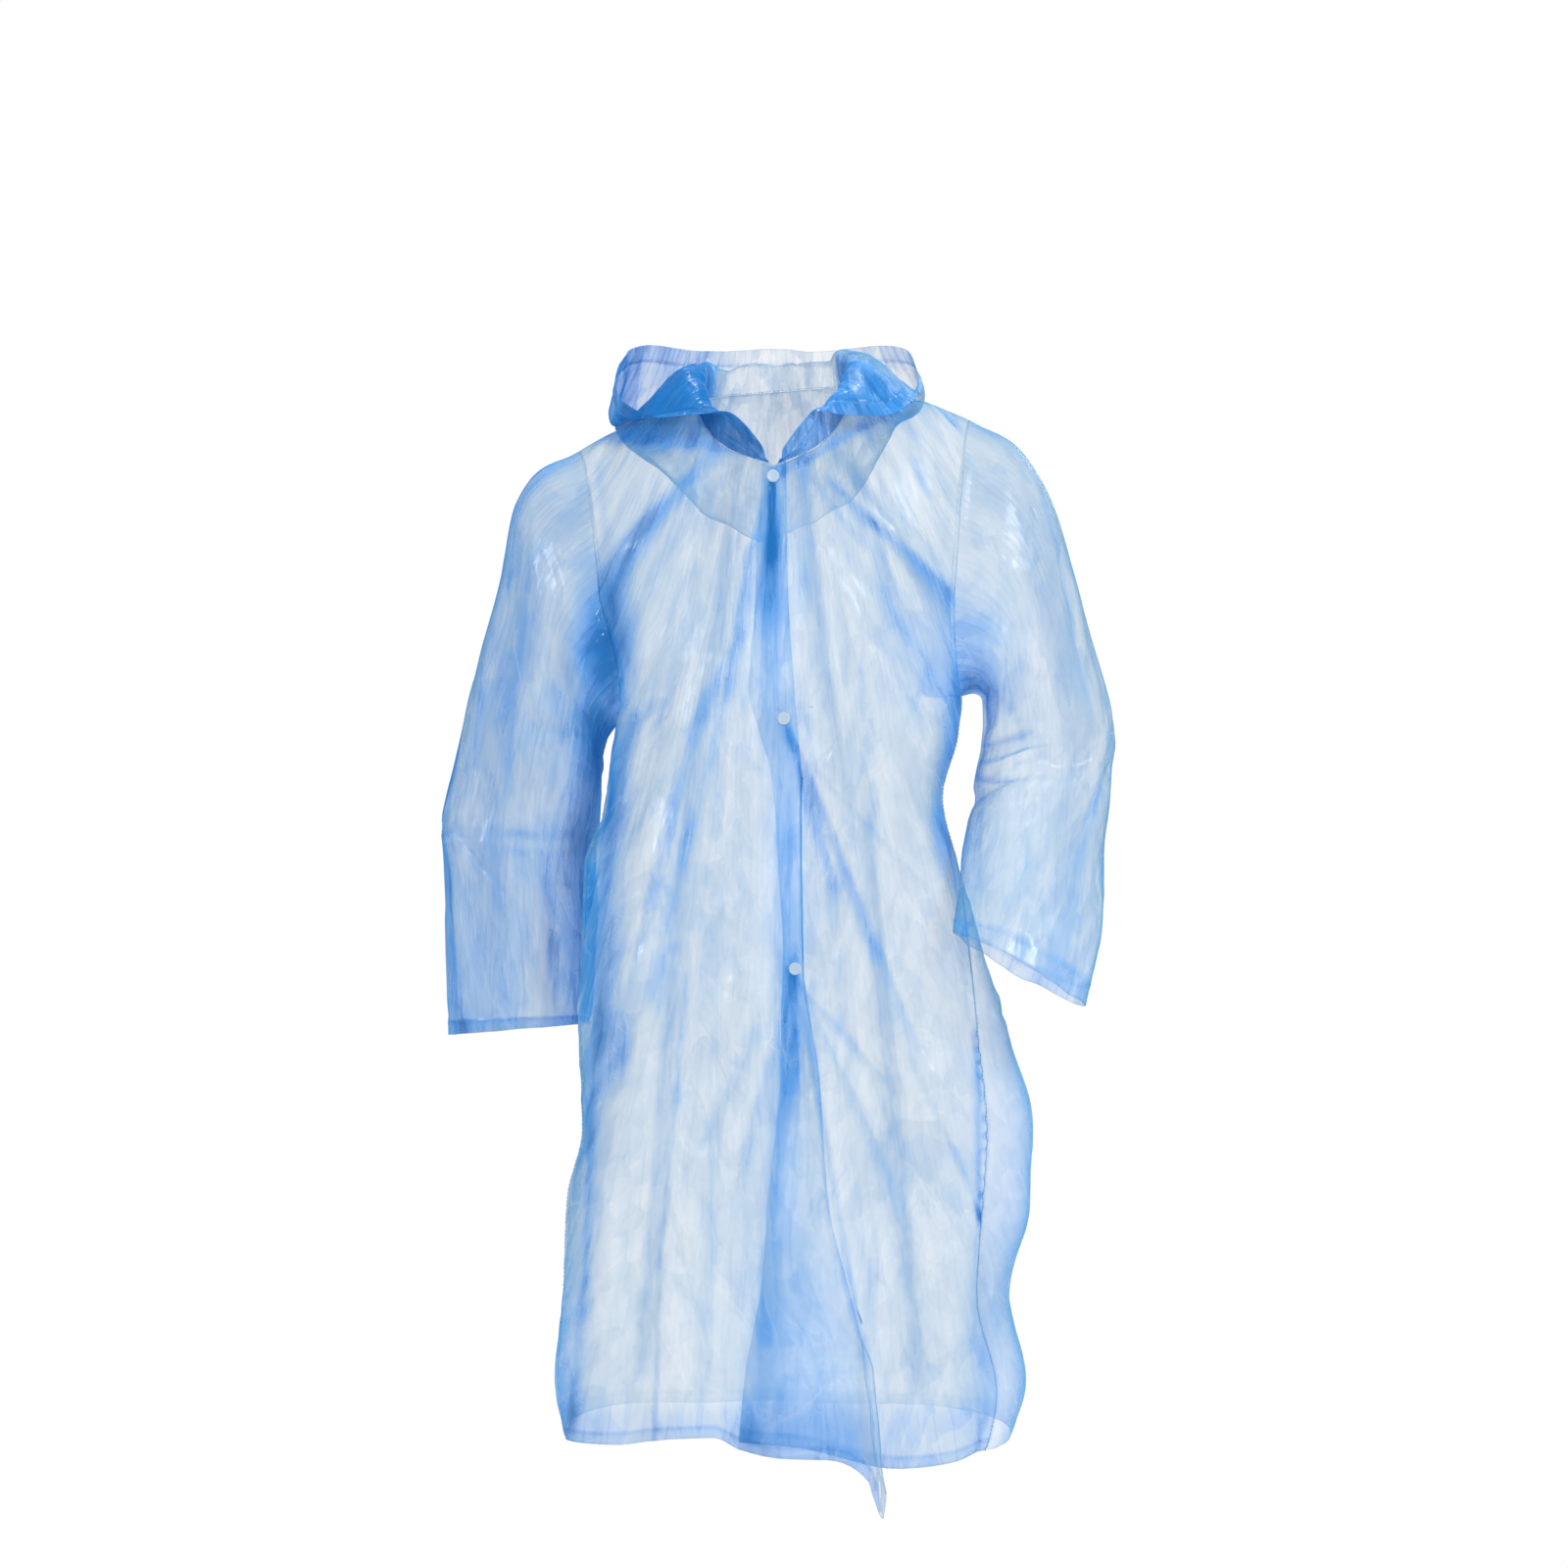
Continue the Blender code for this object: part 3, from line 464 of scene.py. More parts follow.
# On the hood x is the angle from the back, z the share of the profile from the seam
HOOD_CREASES = table(Crease, ROUND, (
    (100, 0.3, 128, 0.96, 7, 4.5, 4),
    (88, 0.28, 104, 0.98, 7, -4, 4),
    (72, 0.34, 78, 0.98, 8, 4.5, -4),
    (50, 0.3, 60, 0.96, 8, -4.5, 4),
    (34, 0.36, 30, 0.98, 9, 5, 4),
    (12, 0.3, 16, 0.92, 9, -4.5, 4),
    (-8, 0.34, -4, 0.96, 9, 5, 4),
    (-28, 0.3, -36, 0.94, 8, -4.5, 4),
    (-46, 0.34, -52, 0.98, 9, 5, 4),
    (-66, 0.28, -70, 0.96, 8, -4.5, 4),
    (-86, 0.32, -90, 0.98, 7, 4.5, 4),
    (-104, 0.3, -112, 0.97, 7, -4, 4),
    (150, 0.1, 104, 0.34, 6, 3, 4),
    (-150, 0.1, -104, 0.34, 6, 3, 4),
))
FRONT_BANDS = table(Band, FLAT, (
    (-72, -28, -131, -88, 8.7, 9.7, 0.32),
    (-131, -88, -184, -152, 9.7, 13.6, 0.36),
    (-87, -45, -145, -117, 4.9, 5.8, 0.28),
    (-145, -117, -173, -195, 5.8, 8.7, 0.3),
    (59, -49, 99, -88, 4.9, 5.8, 0.4),
    (99, -88, 174, -154, 5.8, 8.7, 0.45),
    (44, -51, 78, -98, 3.9, 4.9, 0.25),
    (-7, -49, -38, -195, 3.9, 6.8, 0.22),
    (-29, -195, -73, -276, 5.8, 8.7, 0.26),
    (-73, -276, -122, -454, 8.7, 8.7, 0.26),
    (-122, -454, -157, -620, 8.7, 9.7, 0.28),
    (-24, -117, -46, -253, 4.9, 5.8, 0.26),
    (-46, -253, -87, -408, 5.8, 7.8, 0.24),
    (-87, -408, -126, -554, 7.8, 8.7, 0.2),
    (16, -297, 102, -513, 3.9, 7.8, 0.38),
    (102, -513, 140, -603, 6, 7, 0.24),
    (13, -297, 59, -447, 3.9, 5.8, 0.3),
    (18, -311, 146, -447, 3, 5, 0.13),
    (24, -539, 136, -787, 3, 9, 0.17),
    (25, -544, 76, -835, 3.4, 4, 0.22),
    (18, -539, -29, -719, 3.4, 10, 0.22),
    (22, -544, 107, -641, 3, 5, 0.17),
    (78, -117, 165, -253, 7.8, 13.6, 0.14),
    (-165, -369, -174, -602, 13.6, 15.5, 0.44),
    (-178, -602, -186, -700, 12, 7, 0.42),
    (-186, -700, -190, -850, 7, 4, 0.38),
    (-97, -651, -113, -820, 2.4, 2.2, 0.24),
    (-113, -820, -119, -1000, 2.2, 2.2, 0.22),
    (-87, -544, -97, -661, 3.9, 3.9, 0.2),
    (18, -640, 8, -700, 10, 9, 0.16),
    (16, -640, -28, -1000, 9, 9, 0.13),
    (18, -700, 24, -860, 16, 34, 0.03),
    (24, -880, 29, -1030, 34, 60, 0.08),
    (-3, -54, -3, -117, 4.9, 7.8, 0.9),
    (-6, -117, -7, -160, 8.7, 13, 0.5),
    (-6, -160, -6, -215, 12, 14, 0.1),
    (-7, -215, -7, -280, 15, 15.5, 0.08),
    (14, -292, 18, -530, 11, 11.7, 0.2),
    (20, -539, 21, -600, 7.8, 11, 0.48),
    (21, -600, 20, -650, 11, 11, 0.3),
    (146, -156, 194, -253, 21.4, 25.2, 0.12),
    (190, -253, 177, -389, 14, 13, 0.4),
    (179, -389, 204, -505, 13, 12, 0.44),
    (-145, -292, -167, -379, 8.7, 11.7, 0.5),
    (205, -777, 233, -855, 3.4, 3.4, 0.6),
    (204, -602, 205, -777, 4.4, 4.4, 0.4),
    (-158, 0, -34, -14, 12, 12, 0.5),
    (121, 27, 10, -39, 5.8, 7.8, 0.4),
    (76, -835, 92, -923, 4, 4.4, 0.28),
    (136, -622, 190, -738, 3, 3.6, 0.15),
    (-194, -865, -204, -991, 7.8, 5.8, 0.35),
))
BACK_BANDS = table(Band, FLAT, (
    (-80, -20, -172, -150, 8, 12, 0.35),
    (80, -20, 176, -160, 8, 12, 0.35),
    (-40, -30, -86, -330, 6, 9, 0.22),
    (30, -30, 70, -340, 6, 9, 0.22),
    (-90, -360, -142, -960, 8, 11, 0.26),
    (6, -420, -12, -980, 8, 11, 0.24),
    (100, -400, 152, -970, 8, 11, 0.26),
))
RIGHT_SLEEVE_BANDS = table(Band, ROUND, (
    (6, 0.08, 8, 1, 4, 4, 0.45),
    (172, 0.1, 150, 0.6, 26, 30, 0.38),
    (150, 0.6, 140, 1, 30, 24, 0.15),
    (2, 0.702, 50, 0.68, 2, 2, 0.11),
    (50, 0.68, 130, 0.598, 2, 2, 0.11),
    (130, 0.598, 176, 0.575, 2, 2, 0.11),
    (4, 0.728, 90, 0.664, 1.8, 1.8, 0.08),
    (90, 0.664, 150, 0.608, 1.8, 1.8, 0.08),
    (-2, 0.702, -90, 0.64, 2, 2, 0.11),
    (-90, 0.64, -176, 0.575, 2, 2, 0.11),
    (8, 0.61, 40, 0.98, 12, 16, 0.3),
    (20, 0.1, 36, 0.56, 10, 14, 0.22),
    (60, 0.3, 76, 0.58, 6, 6, 0.2),
    (-60, 0.1, -70, 0.98, 16, 20, 0.2),
))
LEFT_SLEEVE_BANDS = table(Band, ROUND, (
    (172, 0.44, 160, 0.76, 24, 30, 0.26),
    (5, 0.05, 7, 1, 3, 3, 0.3),
    (172, 0, 160, 0.3, 30, 16, 0.4),
    (165, 0.52, 120, 0.62, 6, 5, 0.34),
    (170, 0.4, 110, 0.46, 4, 4, 0.26),
    (168, 0.46, 100, 0.52, 4, 4, 0.26),
    (30, 0.2, 52, 0.5, 6, 8, 0.16),
    (20, 0.5, 60, 0.95, 8, 8, 0.16),
    (-60, 0.1, -70, 0.98, 16, 20, 0.18),
))
BUNCHES_AND_SHADE = table(Bunch, FLAT, (
    (-172, -215, 30, 80, 0.8),
    (-180, -300, 22, 60, 0.76),
    (196, -200, 40, 55, 0.19),
    (205, -245, 30, 30, 0.32),
    (-190, -480, 20, 180, 0.37),
    (-198, -720, 14, 160, 0.26),
    (-214, -960, 16, 70, 0.24),
    (212, -900, 16, 90, 0.3),
    # The last two rows are no bunches but painted shade: a faint deeper tone over the wearer's right
    # shoulder and chest, the side away from the key lamp
    (-190, -80, 130, 200, 0.05),
    (-120, -200, 100, 200, 0.08),
))
# Where the film hangs clear, with nothing close behind it, it is a purer blue
CLEARS = table(Bunch, FLAT, (
    (-2, -200, 28, 150, 0.9),
    (14, -420, 26, 190, 1),
    (190, -220, 60, 70, 0.7),
    (262, -780, 60, 220, 1),
    (250, -980, 50, 120, 1),
    (34, -960, 60, 200, 0.9),
    (12, -760, 26, 140, 0.8),
    (-222, -930, 24, 130, 0.9),
    (-310, -560, 40, 90, 0.5),
    (310, -560, 50, 80, 0.5),
))


# Reading tables and curves


def hermite(t: Array, step: float | Array, ends: Sequence, tangents: Sequence) -> Array:
    """Cubic between two values with given slopes.

    Args:
        t: Share of the way from the first value to the second.
        step: Length of that way.
        ends: The two values.
        tangents: The slope at each.

    Returns:
        The values on the way.
    """
    start = (1 + 2 * t) * (1 - t) ** 2 * ends[0] + t * (1 - t) ** 2 * step * tangents[0]
    end = t * t * (3 - 2 * t) * ends[1] - t * t * (1 - t) * step * tangents[1]
    return start + end


def smooth(at: Array, knots: Sequence[float], values: Sequence[float]) -> Array:
    """Monotone cubic through knots that rise.

    Args:
        at: Where the curve is read; past either end it holds the end value.
        knots: Rising places.
        values: The value at each.

    Returns:
        The curve's values.
    """
    knots = np.asarray(knots, float)
    values = np.asarray(values, float)
    steps = np.diff(knots)
    slopes = np.diff(values) / steps
    tangents = np.zeros_like(values)
    tangents[0] = slopes[0]
    tangents[-1] = slopes[-1]
    before, after = slopes[:-1], slopes[1:]
    turning = before * after <= 0
    mean = 2 * before * after / np.where(turning, 1, before + after)
    tangents[1:-1] = np.where(turning, 0, mean)
    at = np.clip(np.asarray(at, float), knots[0], knots[-1])
    i = np.clip(np.searchsorted(knots, at, side="right") - 1, 0, len(steps) - 1)
    t = (at - knots[i]) / steps[i]
    return hermite(t, steps[i], (values[i], values[i + 1]), (tangents[i], tangents[i + 1]))


def read(table: Sequence[object], key: str, name: str, at: Array) -> Array:
    """A column of a table, at some values of its key.

    Args:
        table: Rows, in any order.
        key: The column that is looked up.
        name: The column that is read.
        at: Values of the key.

    Returns:
        The column's smoothed values.
    """
    rows = sorted(table, key=lambda row: getattr(row, key))
    return smooth(at, [getattr(row, key) for row in rows], [getattr(row, name) for row in rows])


def unit(vectors: Array) -> Array:
    """The vectors, each brought to length 1."""
    return vectors / np.maximum(np.linalg.norm(vectors, axis=-1, keepdims=True), 1e-12)


def signed_power(value: Array, power: float) -> Array:
    """A power that keeps the value's sign."""
    return np.sign(value) * np.abs(value) ** power


def spread(knots: Sequence[float], counts: Sequence[int]) -> Array:
    """Values through the knots.

    Args:
        knots: Rising values.
        counts: Steps between each two.

    Returns:
        All values.
    """
    parts = [
        np.linspace(start, end, count, endpoint=False)
        for start, end, count in zip(knots[:-1], knots[1:], counts)
    ]
    return np.append(np.concatenate(parts), knots[-1])


def ease(value: Array, start: float, end: float) -> Array:
    """A soft step from 0 at start to 1 at end."""
    t = np.clip((np.asarray(value, float) - start) / (end - start), 0, 1)
    return t * t * (3 - 2 * t)


def spline(at: Array, knots: Array, values: Array) -> Array:
    """Catmull-Rom curve through values.

    Args:
        at: Where it is read.
        knots: Rising places.
        values: The value at each.

    Returns:
        The curve's values.
    """
    tangents = np.gradient(values, knots)
    i = np.clip(np.searchsorted(knots, at, side="right") - 1, 0, len(knots) - 2)
    step = knots[i + 1] - knots[i]
    t = (at - knots[i]) / step
    return hermite(t, step, (values[i], values[i + 1]), (tangents[i], tangents[i + 1]))


def curve_through(points: Array, steps: int, samples: int = 240) -> Array:
    """Evenly spaced points on a smooth curve.

    Args:
        points: What the curve passes through.
        steps: How many steps it is cut into.
        samples: How finely it is measured first.

    Returns:
        The points, one more than the steps.
    """
    gaps = np.linalg.norm(np.diff(points, axis=0), axis=1) ** 0.5
    knots = np.concatenate([[0], np.cumsum(gaps)])
    fine = np.linspace(0, knots[-1], samples + 1)
    dense = np.stack([spline(fine, knots, points[:, axis]) for axis in range(3)], axis=-1)
    run = np.concatenate([[0], np.cumsum(np.linalg.norm(np.diff(dense, axis=0), axis=1))])
    even = np.linspace(0, run[-1], steps + 1)
    return np.stack([np.interp(even, run, dense[:, axis]) for axis in range(3)], axis=-1)


class GradientNoise:
    """Smooth seeded noise over a plane, about -0.7 to 0.7."""

    def __init__(self, seed: int, size: int = 128) -> None:
        """Draws the lattice's directions.

        Args:
            seed: Varies the noise.
            size: Cells a side, after which it repeats.
        """
        turn = np.random.default_rng(seed).uniform(0, 2 * math.pi, (size, size))
        self.lean_x = np.cos(turn)
        self.lean_y = np.sin(turn)
        self.size = size

    def at(self, x: Array, y: Array) -> Array:
        """The noise at some places.

        Args:
            x: Places across, in cells of the lattice.
            y: Places along.

        Returns:
            The noise.
        """
        column = np.floor(x).astype(int)
        row = np.floor(y).astype(int)
        fx, fy = x - column, y - row
        fade_x = fx**3 * (fx * (fx * 6 - 15) + 10)
        fade_y = fy**3 * (fy * (fy * 6 - 15) + 10)
        total = np.zeros_like(fx)
        for i in (0, 1):
            for j in (0, 1):
                at = (column + i) % self.size, (row + j) % self.size
                lean = self.lean_x[at] * (fx - i) + self.lean_y[at] * (fy - j)
                share_x = fade_x if i else 1 - fade_x
                share_y = fade_y if j else 1 - fade_y
                total = total + lean * share_x * share_y
        return total


class FacetField:
    """A seeded relief of flat facets between crisp creases, over a plane."""

    fineness = 9  # samples along a cell

    def __init__(self, seed: int, columns: int, rows: int) -> None:
        """Scatters the corners of the facets, joins them and samples the relief.

        Args:
            seed: Varies the relief.
            columns: Cells across.
            rows: Cells along.
        """
        random = np.random.default_rng(seed)
        cell = np.stack(np.meshgrid(np.arange(columns + 2), np.arange(rows + 2)), axis=-1)
        corners = (cell + random.uniform(-0.46, 0.46, cell.shape)).reshape(-1, 2)
        found = delaunay_2d_cdt([Vector(corner) for corner in corners], [], [], 0, 1e-7)
        places, triangles = np.array(found[0]), found[2]
        heights = random.uniform(-1, 1, len(places))
        self.sizes = (columns, rows)
        self.relief = np.zeros((rows * self.fineness + 1, columns * self.fineness + 1))
        for triangle in triangles:
            self.fill(places[list(triangle)] * self.fineness, heights[list(triangle)])

    def fill(self, places: Array, heights: Array) -> None:
        """Writes one facet into the relief.

        Args:
            places: Its three corners, in samples.
            heights: The height at each.
        """
        limits = np.array(self.relief.shape)[::-1]
        low = np.clip(np.floor(places.min(axis=0)).astype(int), 0, limits)
        high = np.clip(np.ceil(places.max(axis=0)).astype(int) + 1, 0, limits)
        y, x = np.mgrid[low[1] : high[1], low[0] : high[0]]
        window = self.relief[low[1] : high[1], low[0] : high[0]]
        a, b, c = places
        area = (b[0] - a[0]) * (c[1] - a[1]) - (c[0] - a[0]) * (b[1] - a[1])
        if window.size == 0 or abs(area) < 1e-9:
            return
        v = ((x - a[0]) * (c[1] - a[1]) - (c[0] - a[0]) * (y - a[1])) / area
        w = ((b[0] - a[0]) * (y - a[1]) - (x - a[0]) * (b[1] - a[1])) / area
        inside = (v >= -1e-6) & (w >= -1e-6) & (v + w <= 1 + 1e-6)
        height = heights[0] * (1 - v - w) + heights[1] * v + heights[2] * w
        window[inside] = height[inside]

    def at(self, x: Array, y: Array) -> Array:
        """The relief at some places; it repeats beyond its edges.

        Args:
            x: Places across, in cells.
            y: Places along.

        Returns:
            The relief.
        """
        columns, rows = self.sizes
        x = np.abs((x + columns) % (2 * columns) - columns) * self.fineness
        y = np.abs((y + rows) % (2 * rows) - rows) * self.fineness
        i = np.clip(x.astype(int), 0, self.relief.shape[1] - 2)
        j = np.clip(y.astype(int), 0, self.relief.shape[0] - 2)
        fx, fy = x - i, y - j
        upper = self.relief[j, i] * (1 - fx) + self.relief[j, i + 1] * fx
        lower = self.relief[j + 1, i] * (1 - fx) + self.relief[j + 1, i + 1] * fx
        return upper * (1 - fy) + lower * fy


def refined(grid: Array, factor: int, axis: int) -> Array:
    """The grid with more points along an axis, on smooth curves through its own.

    Args:
        grid: Points in rows and columns.
        factor: How many steps each step is cut into.
        axis: 0 for more rows, 1 for more columns.

    Returns:
        The finer grid.
    """
    values = np.moveaxis(grid, axis, 0)
    tangents = np.gradient(values, axis=0)
    at = np.linspace(0, len(values) - 1, (len(values) - 1) * factor + 1)
    i = np.minimum(at.astype(int), len(values) - 2)
    t = (at - i).reshape(-1, 1, 1)
    ends, slopes = (values[i], values[i + 1]), (tangents[i], tangents[i + 1])
    return np.moveaxis(hermite(t, 1.0, ends, slopes), 0, axis)


def ridges(x: Array, z: Array, folds: Sequence[Fold]) -> Array:
    """Large rounded folds.

    Args:
        x: Distance across.
        z: Distance along.
        folds: The folds.

    Returns:
        The sum of their heights.
    """
    total = np.zeros_like(x)
    for fold in folds:
        run = np.array([fold.x1 - fold.x0, fold.z1 - fold.z0])
        offset = np.stack([x - fold.x0, z - fold.z0], axis=-1)
        t = np.clip(offset @ run / (run @ run), 0, 1)
        distance = np.linalg.norm(offset - t[..., None] * run, axis=-1)
        width = fold.width0 + (fold.width1 - fold.width0) * t
        total += fold.height * np.exp(-((distance / width) ** 2))
    return total


class LinePlaces(NamedTuple):
    """Where points lie by a line: share of its length, distance beside it, and its length."""

    share: Array
    off: Array
    length: float


def by_line(row: Crease | Band, x: Array, z: Array) -> LinePlaces:
    """Where points lie by a row's line.

    Args:
        row: A crease or a band.
        x: Distance across.
        z: Distance along.

    Returns:
        Their places.
    """
    run = np.array([row.x1 - row.x0, row.z1 - row.z0])
    length = float(np.linalg.norm(run))
    ahead = run / length
    beside = np.array([-ahead[1], ahead[0]])
    offset = np.stack([x - row.x0, z - row.z0], axis=-1)
    return LinePlaces((offset @ ahead) / length, offset @ beside, length)


def creased(x: Array, z: Array, creases: Sequence[Crease]) -> Array:
    """Crisp creases that fade towards their ends.

    Args:
        x: Distance across.
        z: Distance along.
        creases: The creases.

    Returns:
        The sum of their heights.
    """
    sharpness, taper_power = 1.25, 0.6
    total = np.zeros_like(x)
    for crease in creases:
        t, off, length = by_line(crease, x, z)
        inside = np.clip(t, 0, 1)
        bow = crease.bend * 4 * inside * (1 - inside)
        distance = np.abs(off - bow) + np.abs(t - inside) * length
        taper = np.sin(math.pi * np.clip(inside * 0.94 + 0.03, 0, 1)) ** taper_power
        crest = np.exp(-((distance / crease.width) ** sharpness))
        total += CREASE_STRENGTH * crease.height * crest * taper
    return total


def banded(x: Array, z: Array, bands: Sequence[Band]) -> Array:
    """How much film is drawn together in bands: crisp on their outer side, soft on the other.

    Args:
        x: Distance across.
        z: Distance along.
        bands: The bands.

    Returns:
        0 where none is to 1.
    """
    crisp, least_crisp, soft, past_end, least_past, sharpness = 0.6, 0.0028, 1.25, 2.5, 0.010, 2.2
    clear = np.ones_like(x)
    for band in bands:
        t, off, length = by_line(band, x, z)
        off = off * (np.sign((band.z0 - band.z1) * (band.x0 + band.x1)) or 1.0)
        inside = np.clip(t, 0, 1)
        width = band.width0 + (band.width1 - band.width0) * inside
        reach = np.where(off > 0, np.maximum(crisp * width, least_crisp), soft * width)
        past = (t - inside) * length / np.maximum(past_end * width, least_past)
        clear *= 1 - band.amount * np.exp(-(np.abs(off / reach) ** sharpness) - past**2)
    return 1 - clear


def bunched(points: Array, places: Sequence[Bunch] = BUNCHES_AND_SHADE) -> Array:
    """How far points of the coat lie in some of its places.

    Args:
        points: The points.
        places: The places, by default those where film is bunched up, and two broad places of painted
            shade.

    Returns:
        0 outside all places to 1.
    """
    total = np.zeros(points.shape[:-1])
    for bunch in places:
        across = (points[..., 0] - bunch.x) / bunch.reach_x
        along = (points[..., 2] - bunch.z) / bunch.reach_z
        total = np.maximum(total, bunch.amount * np.exp(-(across**2 + along**2)))
    return total


def unrolled(rows: Sequence[Row], radius: float, length: float) -> list[Row]:
    """Rows with angles and shares, laid out flat.

    Args:
        rows: Folds, creases or bands of a sleeve or the hood.
        radius: Its radius.
        length: Its length.

    Returns:
        The rows, in metres.
    """
    flat = []
    for row in rows:
        sizes = {name: getattr(row, name) for name in row.__dataclass_fields__}
        sizes["x0"], sizes["x1"] = (math.radians(sizes[n]) * radius for n in ("x0", "x1"))
        sizes["z0"], sizes["z1"] = sizes["z0"] * length, sizes["z1"] * length
        flat.append(type(row)(**sizes))
    return flat


# The form of the coat


@dataclass
class CoatForm:
    """The coat's outer surface, worked out from its sections, neckline and shoulder."""

    tilt: float = 0.08
    chest_z: float = -0.150
    armpit_z: float = -0.276
    tilt_fade_z: float = -0.46
    arm_angle: float = 62.0
    boxiness: float = 0.85
    neck_y: float = -0.015
    shoulder_tip: tuple[float, float, float] = (0.200, 0.000, 0.005)
    shoulder_bow: float = 0.008
    neck_share: float = 0.36

    def lift(self, x: Array, z: Array) -> Array:
        """How far the tilted shoulders lift a point at x on the level z."""
        share = np.clip((z - self.tilt_fade_z) / (self.armpit_z - self.tilt_fade_z), 0, 1)
        return self.tilt * x * share

    def section(self, angle: Array, z: Array) -> Array:
        """Points on the body's sections.

        Args:
            angle: 0 at the front, 90 at the left side, 180 at the back.
            z: Levels.

        Returns:
            The points.
        """
        right, left, front, back = (
            read(SECTIONS, "z", name, z) for name in ("right", "left", "front", "back")
        )
        turn = np.radians(angle)
        x = (left + right) / 2 + (left - right) / 2 * signed_power(np.sin(turn), self.boxiness)
        ahead = signed_power(np.cos(turn), self.boxiness)
        y = np.where(ahead > 0, front * ahead, -back * ahead)
        return np.stack([x, y, z + self.lift(x, z)], axis=-1)

    def neck(self, angle: Array) -> Array:
        """Points of the neckline.

        Args:
            angle: Angles from the front, positive to the left.

        Returns:
            The points.
        """
        turn = np.radians(angle)
        radius = read(NECKLINE, "angle", "radius", np.abs(angle))
        x = radius * np.sin(turn)
        z = read(NECKLINE, "angle", "z", np.abs(angle))
        return np.stack([x, self.neck_y - radius * np.cos(turn), z + self.lift(x, z)], axis=-1)

    def top(self, share: Array, facing: Facing) -> Array:
        """Points of a panel's upper edge: its neckline, then its shoulder line to the tip.

        Args:
            share: Places along the edge, from -1 at the right tip to 1 at the left one.
            facing: Front or back.

        Returns:
            The points.
        """
        side = np.sign(share)
        across = np.abs(share)
        turn = 90 * np.clip(across / self.neck_share, 0, 1)
        turn = turn if facing is Facing.FRONT else 180 - turn
        start = self.neck(turn * np.where(side == 0, 1, side))
        out = np.clip((across - self.neck_share) / (1 - self.neck_share), 0, 1)
        tip_x, tip_y, tip_z = self.shoulder_tip
        end_x = tip_x * side
        end_z = tip_z + self.lift(end_x, tip_z)
        end = np.stack([end_x, np.full_like(end_x, tip_y), end_z], axis=-1)
        points = start + (end - start) * out[..., None]
        points[..., 2] += self.shoulder_bow * 4 * out * (1 - out)
        return points

    def yoke(self, share: Array, drop: float, facing: Facing) -> Array:
        """Points between the upper edge and the chest line.

        Args:
            share: Places along the row, -1 to 1.
            drop: 0 at the upper edge to 1 at the chest.
            facing: Front or back.

        Returns:
            The points.
        """
        angle = self.arm_angle * share
        angle = angle if facing is Facing.FRONT else 180 - angle
        start = self.top(share, facing)
        end = self.section(angle, np.full_like(share, self.chest_z))
        turn = drop * math.pi / 2
        share_of_run = np.array([drop, math.sin(turn), 1 - math.cos(turn)])
        return start + (end - start) * share_of_run

    def seam_angle(self, z: float, side: Side, facing: Facing) -> float:
        """Angle from the panel's own middle to its armhole or side seam.

        Args:
            z: The level.
            side: Right or left seam.
            facing: Front or back.

        Returns:
            The angle in degrees.
        """
        name = "seam_left" if side is Side.LEFT else "seam_right"
        at_side = float(read(SECTIONS, "z", name, z))
        if facing is Facing.BACK:
            at_side = 180 - at_side
        if z <= self.armpit_z:
            return at_side
        depth = (z - self.chest_z) / (self.armpit_z - self.chest_z)
        return self.arm_angle + (at_side - self.arm_angle) * (1 - math.sqrt(1 - depth * depth))

    def seam_level(self, bottom: float, hang: float) -> float:
        """Level of a point on a side seam.

        Args:
            bottom: The seam's lower end.
            hang: -1 at the chest, 0 at the armpit, 1 at the bottom.

        Returns:
            The level.
        """
        if hang < 0:
            drop = math.sin((1 + hang) * math.pi / 2)
            return self.chest_z + (self.armpit_z - self.chest_z) * drop
        return self.armpit_z + (bottom - self.armpit_z) * hang

    def row(self, down: float, share: Array, hem: Sequence[HemPlace], facing: Facing) -> Array:
        """Points of one row of a panel.

        Args:
            down: 0 at the upper edge, 1 at the chest, 2 at the armpit, 3 at the hem.
            share: Places along the row, -1 at its right seam and 1 at its left one.
            hem: The panel's hem.
            facing: Front or back.

        Returns:
            The points, before folds.
        """
        if down <= 1:
            return self.yoke(share, down, facing)
        hang = down - 2
        if hang <= 0:
            level = np.full_like(share, self.seam_level(0, hang))
        else:
            bottom = smooth(share, [place.share for place in hem], [place.z for place in hem])
            level = self.armpit_z + (bottom - self.armpit_z) * hang
        right = self.seam_angle(self.seam_level(HEM_BACK[0].z, hang), Side.RIGHT, facing)
        left = self.seam_angle(self.seam_level(HEM_BACK[-1].z, hang), Side.LEFT, facing)
        angle = share * np.where(share < 0, right, left)
        return self.section(angle if facing is Facing.FRONT else 180 - angle, level)

    def edge_shares(self, down: float, hem: Sequence[HemPlace]) -> tuple[float, float]:
        """Where the free edges cross a row of the front.

        Args:
            down: The row.
            hem: The panel's hem.

        Returns:
            The shares of the under and of the outer edge.
        """
        share = np.linspace(-0.8, 0.8, 321)
        points = self.row(down, share, hem, Facing.FRONT)
        level = points[len(share) // 2, 2]
        under = np.interp(read(FREE_EDGES, "z", "under", level), points[:, 0], share)
        outer = np.interp(read(FREE_EDGES, "z", "outer", level), points[:, 0], share)
        return float(under), float(outer)

    def folded(self, down: float, share: Array, points: Array, folds: Sequence[Fold]) -> Array:
        """A row moved out or in by the large folds, which die away at seams and shoulder.

        Args:
            down: The row.
            share: Places along it.
            points: Its points.
            folds: The folds.

        Returns:
            The moved points.
        """
        outward = points - [points[len(points) // 2, 0] * 0.5, 0.0, 0.0]
        outward[:, 2] = 0.0
        fade = min(down, 1) * (1 - np.abs(share) ** 6)
        height = ridges(points[:, 0], points[:, 2], folds) * fade
        return points + unit(outward) * height[:, None]


# Sheets of film


